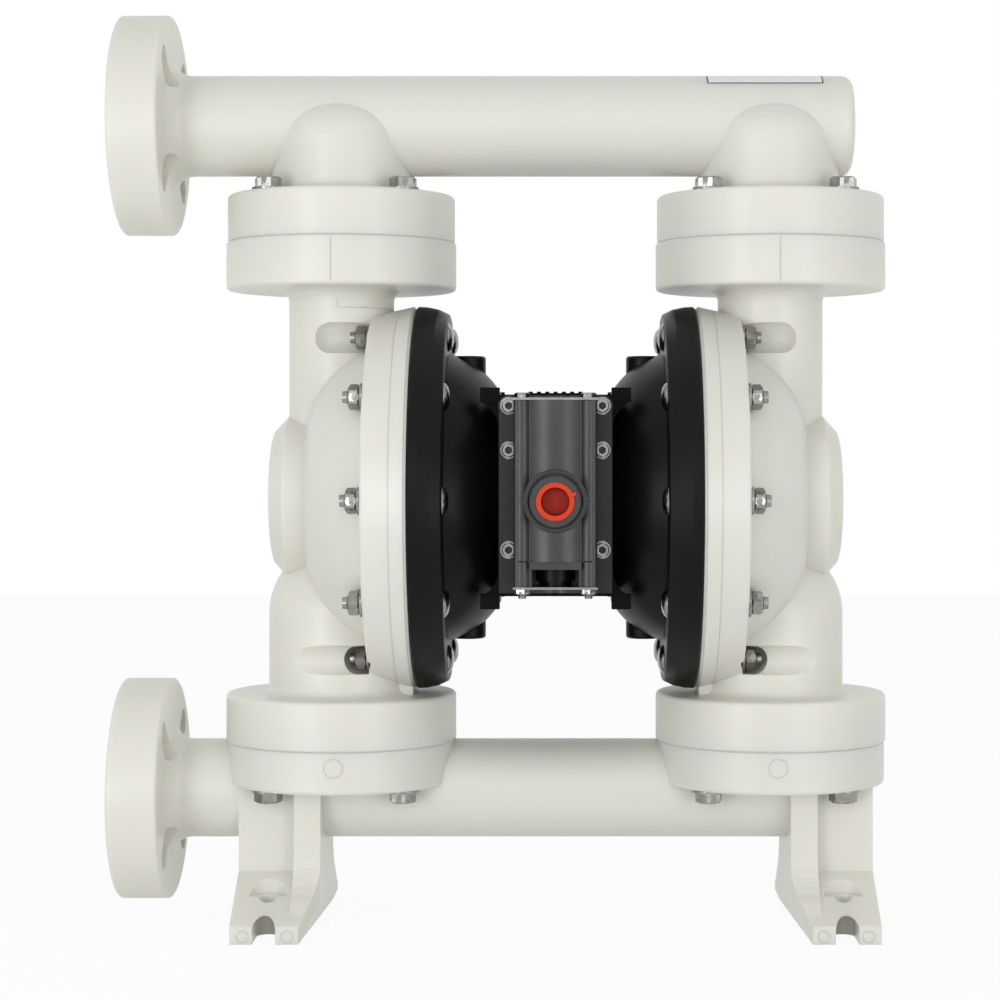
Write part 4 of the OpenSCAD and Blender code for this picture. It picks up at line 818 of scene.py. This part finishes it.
dress(brass, "outlet_inserts", "inlet_inserts")
bolt_head = hexed(0.018, [(1.155, 0), (1.155, 0.0064), (0.92, 0.0077)])
bolt_shank = spun(
    [(0, -0.0594), (0.0052, -0.0594), (JOINT_BOLT_R, -0.0585), (JOINT_BOLT_R, 0.0002), (0, 0.0002)])
bolt_washer = hexed(
    0.048, [(0.488, -0.002), (0.5, -0.0016), (0.5, -0.0004), (0.488, 0)], hole=0.0062)
for word, seat_z, tip_over in (("outlet", OUTLET_SEAT_Z, 0), ("inlet", INLET_SEAT_Z, math.pi)):
    seats = []
    flip = Matrix.Rotation(tip_over, 4, "X")
    for side in (-1, 1):
        for i, (right, back) in enumerate(JOINT_BOLT_CORNERS):
            x = side * COLUMN_X + right * JOINT_BOLT_OFF
            place = Matrix.Translation((x, back * JOINT_BOLT_OFF, seat_z))
            seats.append(place @ flip @ Matrix.Rotation(0.3 + 0.5 * i + side, 4, "Z"))
    gather(f"{word}_joint_bolts", [(m, bolt_head) for m in seats] + [(m, bolt_shank) for m in seats],
           "pump", stainless, [f"{word}_bolts"])
    gather(f"{word}_joint_washers", [(m, bolt_washer) for m in seats],
           "pump", stainless, [f"{word}_bolt_washers"])

# Exhaust muffler: a slotted barrel of the same black plastic as the air caps,
# screwed into the back of the motor body.
dress(satin_black, "exhaust_muffler")

# Inlet plug: a soft orange-red push-in plug that keeps dirt out of the air inlet.
# Moulded in one colour: a bright red rim round a deep middle that is painted a darker red, a painted
# shade.
PAINTED_SHADE_TO_RIM_Y = (0.1500, 0.1522)
RIM_RED = (0.66, 0.045, 0.011)

plug_red = moulded_plastic(
    "plug_red", (0.36, 0.016, 0.005), (0.30, 0.013, 0.004),
    (0.34, 0.46), (400, 0.0001, 0.15), shine=0.22)
# In front of these depths the rim shows its own bright red; behind them the deep middle keeps the
# darker red, a painted shade.
tinted_beyond(plug_red, "Y", *PAINTED_SHADE_TO_RIM_Y, RIM_RED)
dress(plug_red, "inlet_plug")

# Label: a blank white strip with a thin dark edge, stuck along the front of the
# outlet pipe near its closed end.
PIPE_Z = 0.601
PIPE_R = 0.03775
LABEL_X = (0.1130, 0.2000)
LABEL_TURN = (50, 76)
LABEL_EDGE = 0.001
LABEL_EDGE_TURN = 1.5


def strip_on_pipe(name, ends, turns, lift, material, thickness=0.00012, steps=12):
    """A thin sheet that follows the pipe; turns are degrees up from its front."""
    verts = []
    for stand in (lift, lift - thickness):
        for i in range(steps + 1):
            a = math.radians(turns[0] + (turns[1] - turns[0]) * i / steps)
            r = PIPE_R + stand
            for x in ends:
                verts.append((x, -r * math.cos(a), PIPE_Z + r * math.sin(a)))
    faces = []
    half = 2 * (steps + 1)
    for i in range(steps):
        a = 2 * i
        faces.append((a, a + 1, a + 3, a + 2))
        faces.append((half + a + 2, half + a + 3, half + a + 1, half + a))
        faces.append((a, a + 2, half + a + 2, half + a))
        faces.append((a + 3, a + 1, half + a + 1, half + a + 3))
    faces.append((1, 0, half, half + 1))
    faces.append((half - 2, half - 1, 2 * half - 1, 2 * half - 2))
    mesh = bpy.data.meshes.new(name)
    mesh.from_pydata(verts, [], faces)
    return put(name, mesh, "pump", material)


label_white = moulded_plastic(
    "label_white", (0.88, 0.88, 0.88), (0.85, 0.85, 0.85),
    (0.35, 0.45), (300, 0.00005, 0.1))
label_ink = moulded_plastic(
    "label_ink", (0.02, 0.02, 0.02), (0.03, 0.03, 0.03),
    (0.35, 0.45), (300, 0.00005, 0.1))
strip_on_pipe("label_edge", LABEL_X, LABEL_TURN, 0.00022, label_ink)
strip_on_pipe("label_face", (LABEL_X[0] + LABEL_EDGE, LABEL_X[1] - LABEL_EDGE),
              (LABEL_TURN[0] + LABEL_EDGE_TURN, LABEL_TURN[1] - LABEL_EDGE_TURN),
              0.00030, label_white)
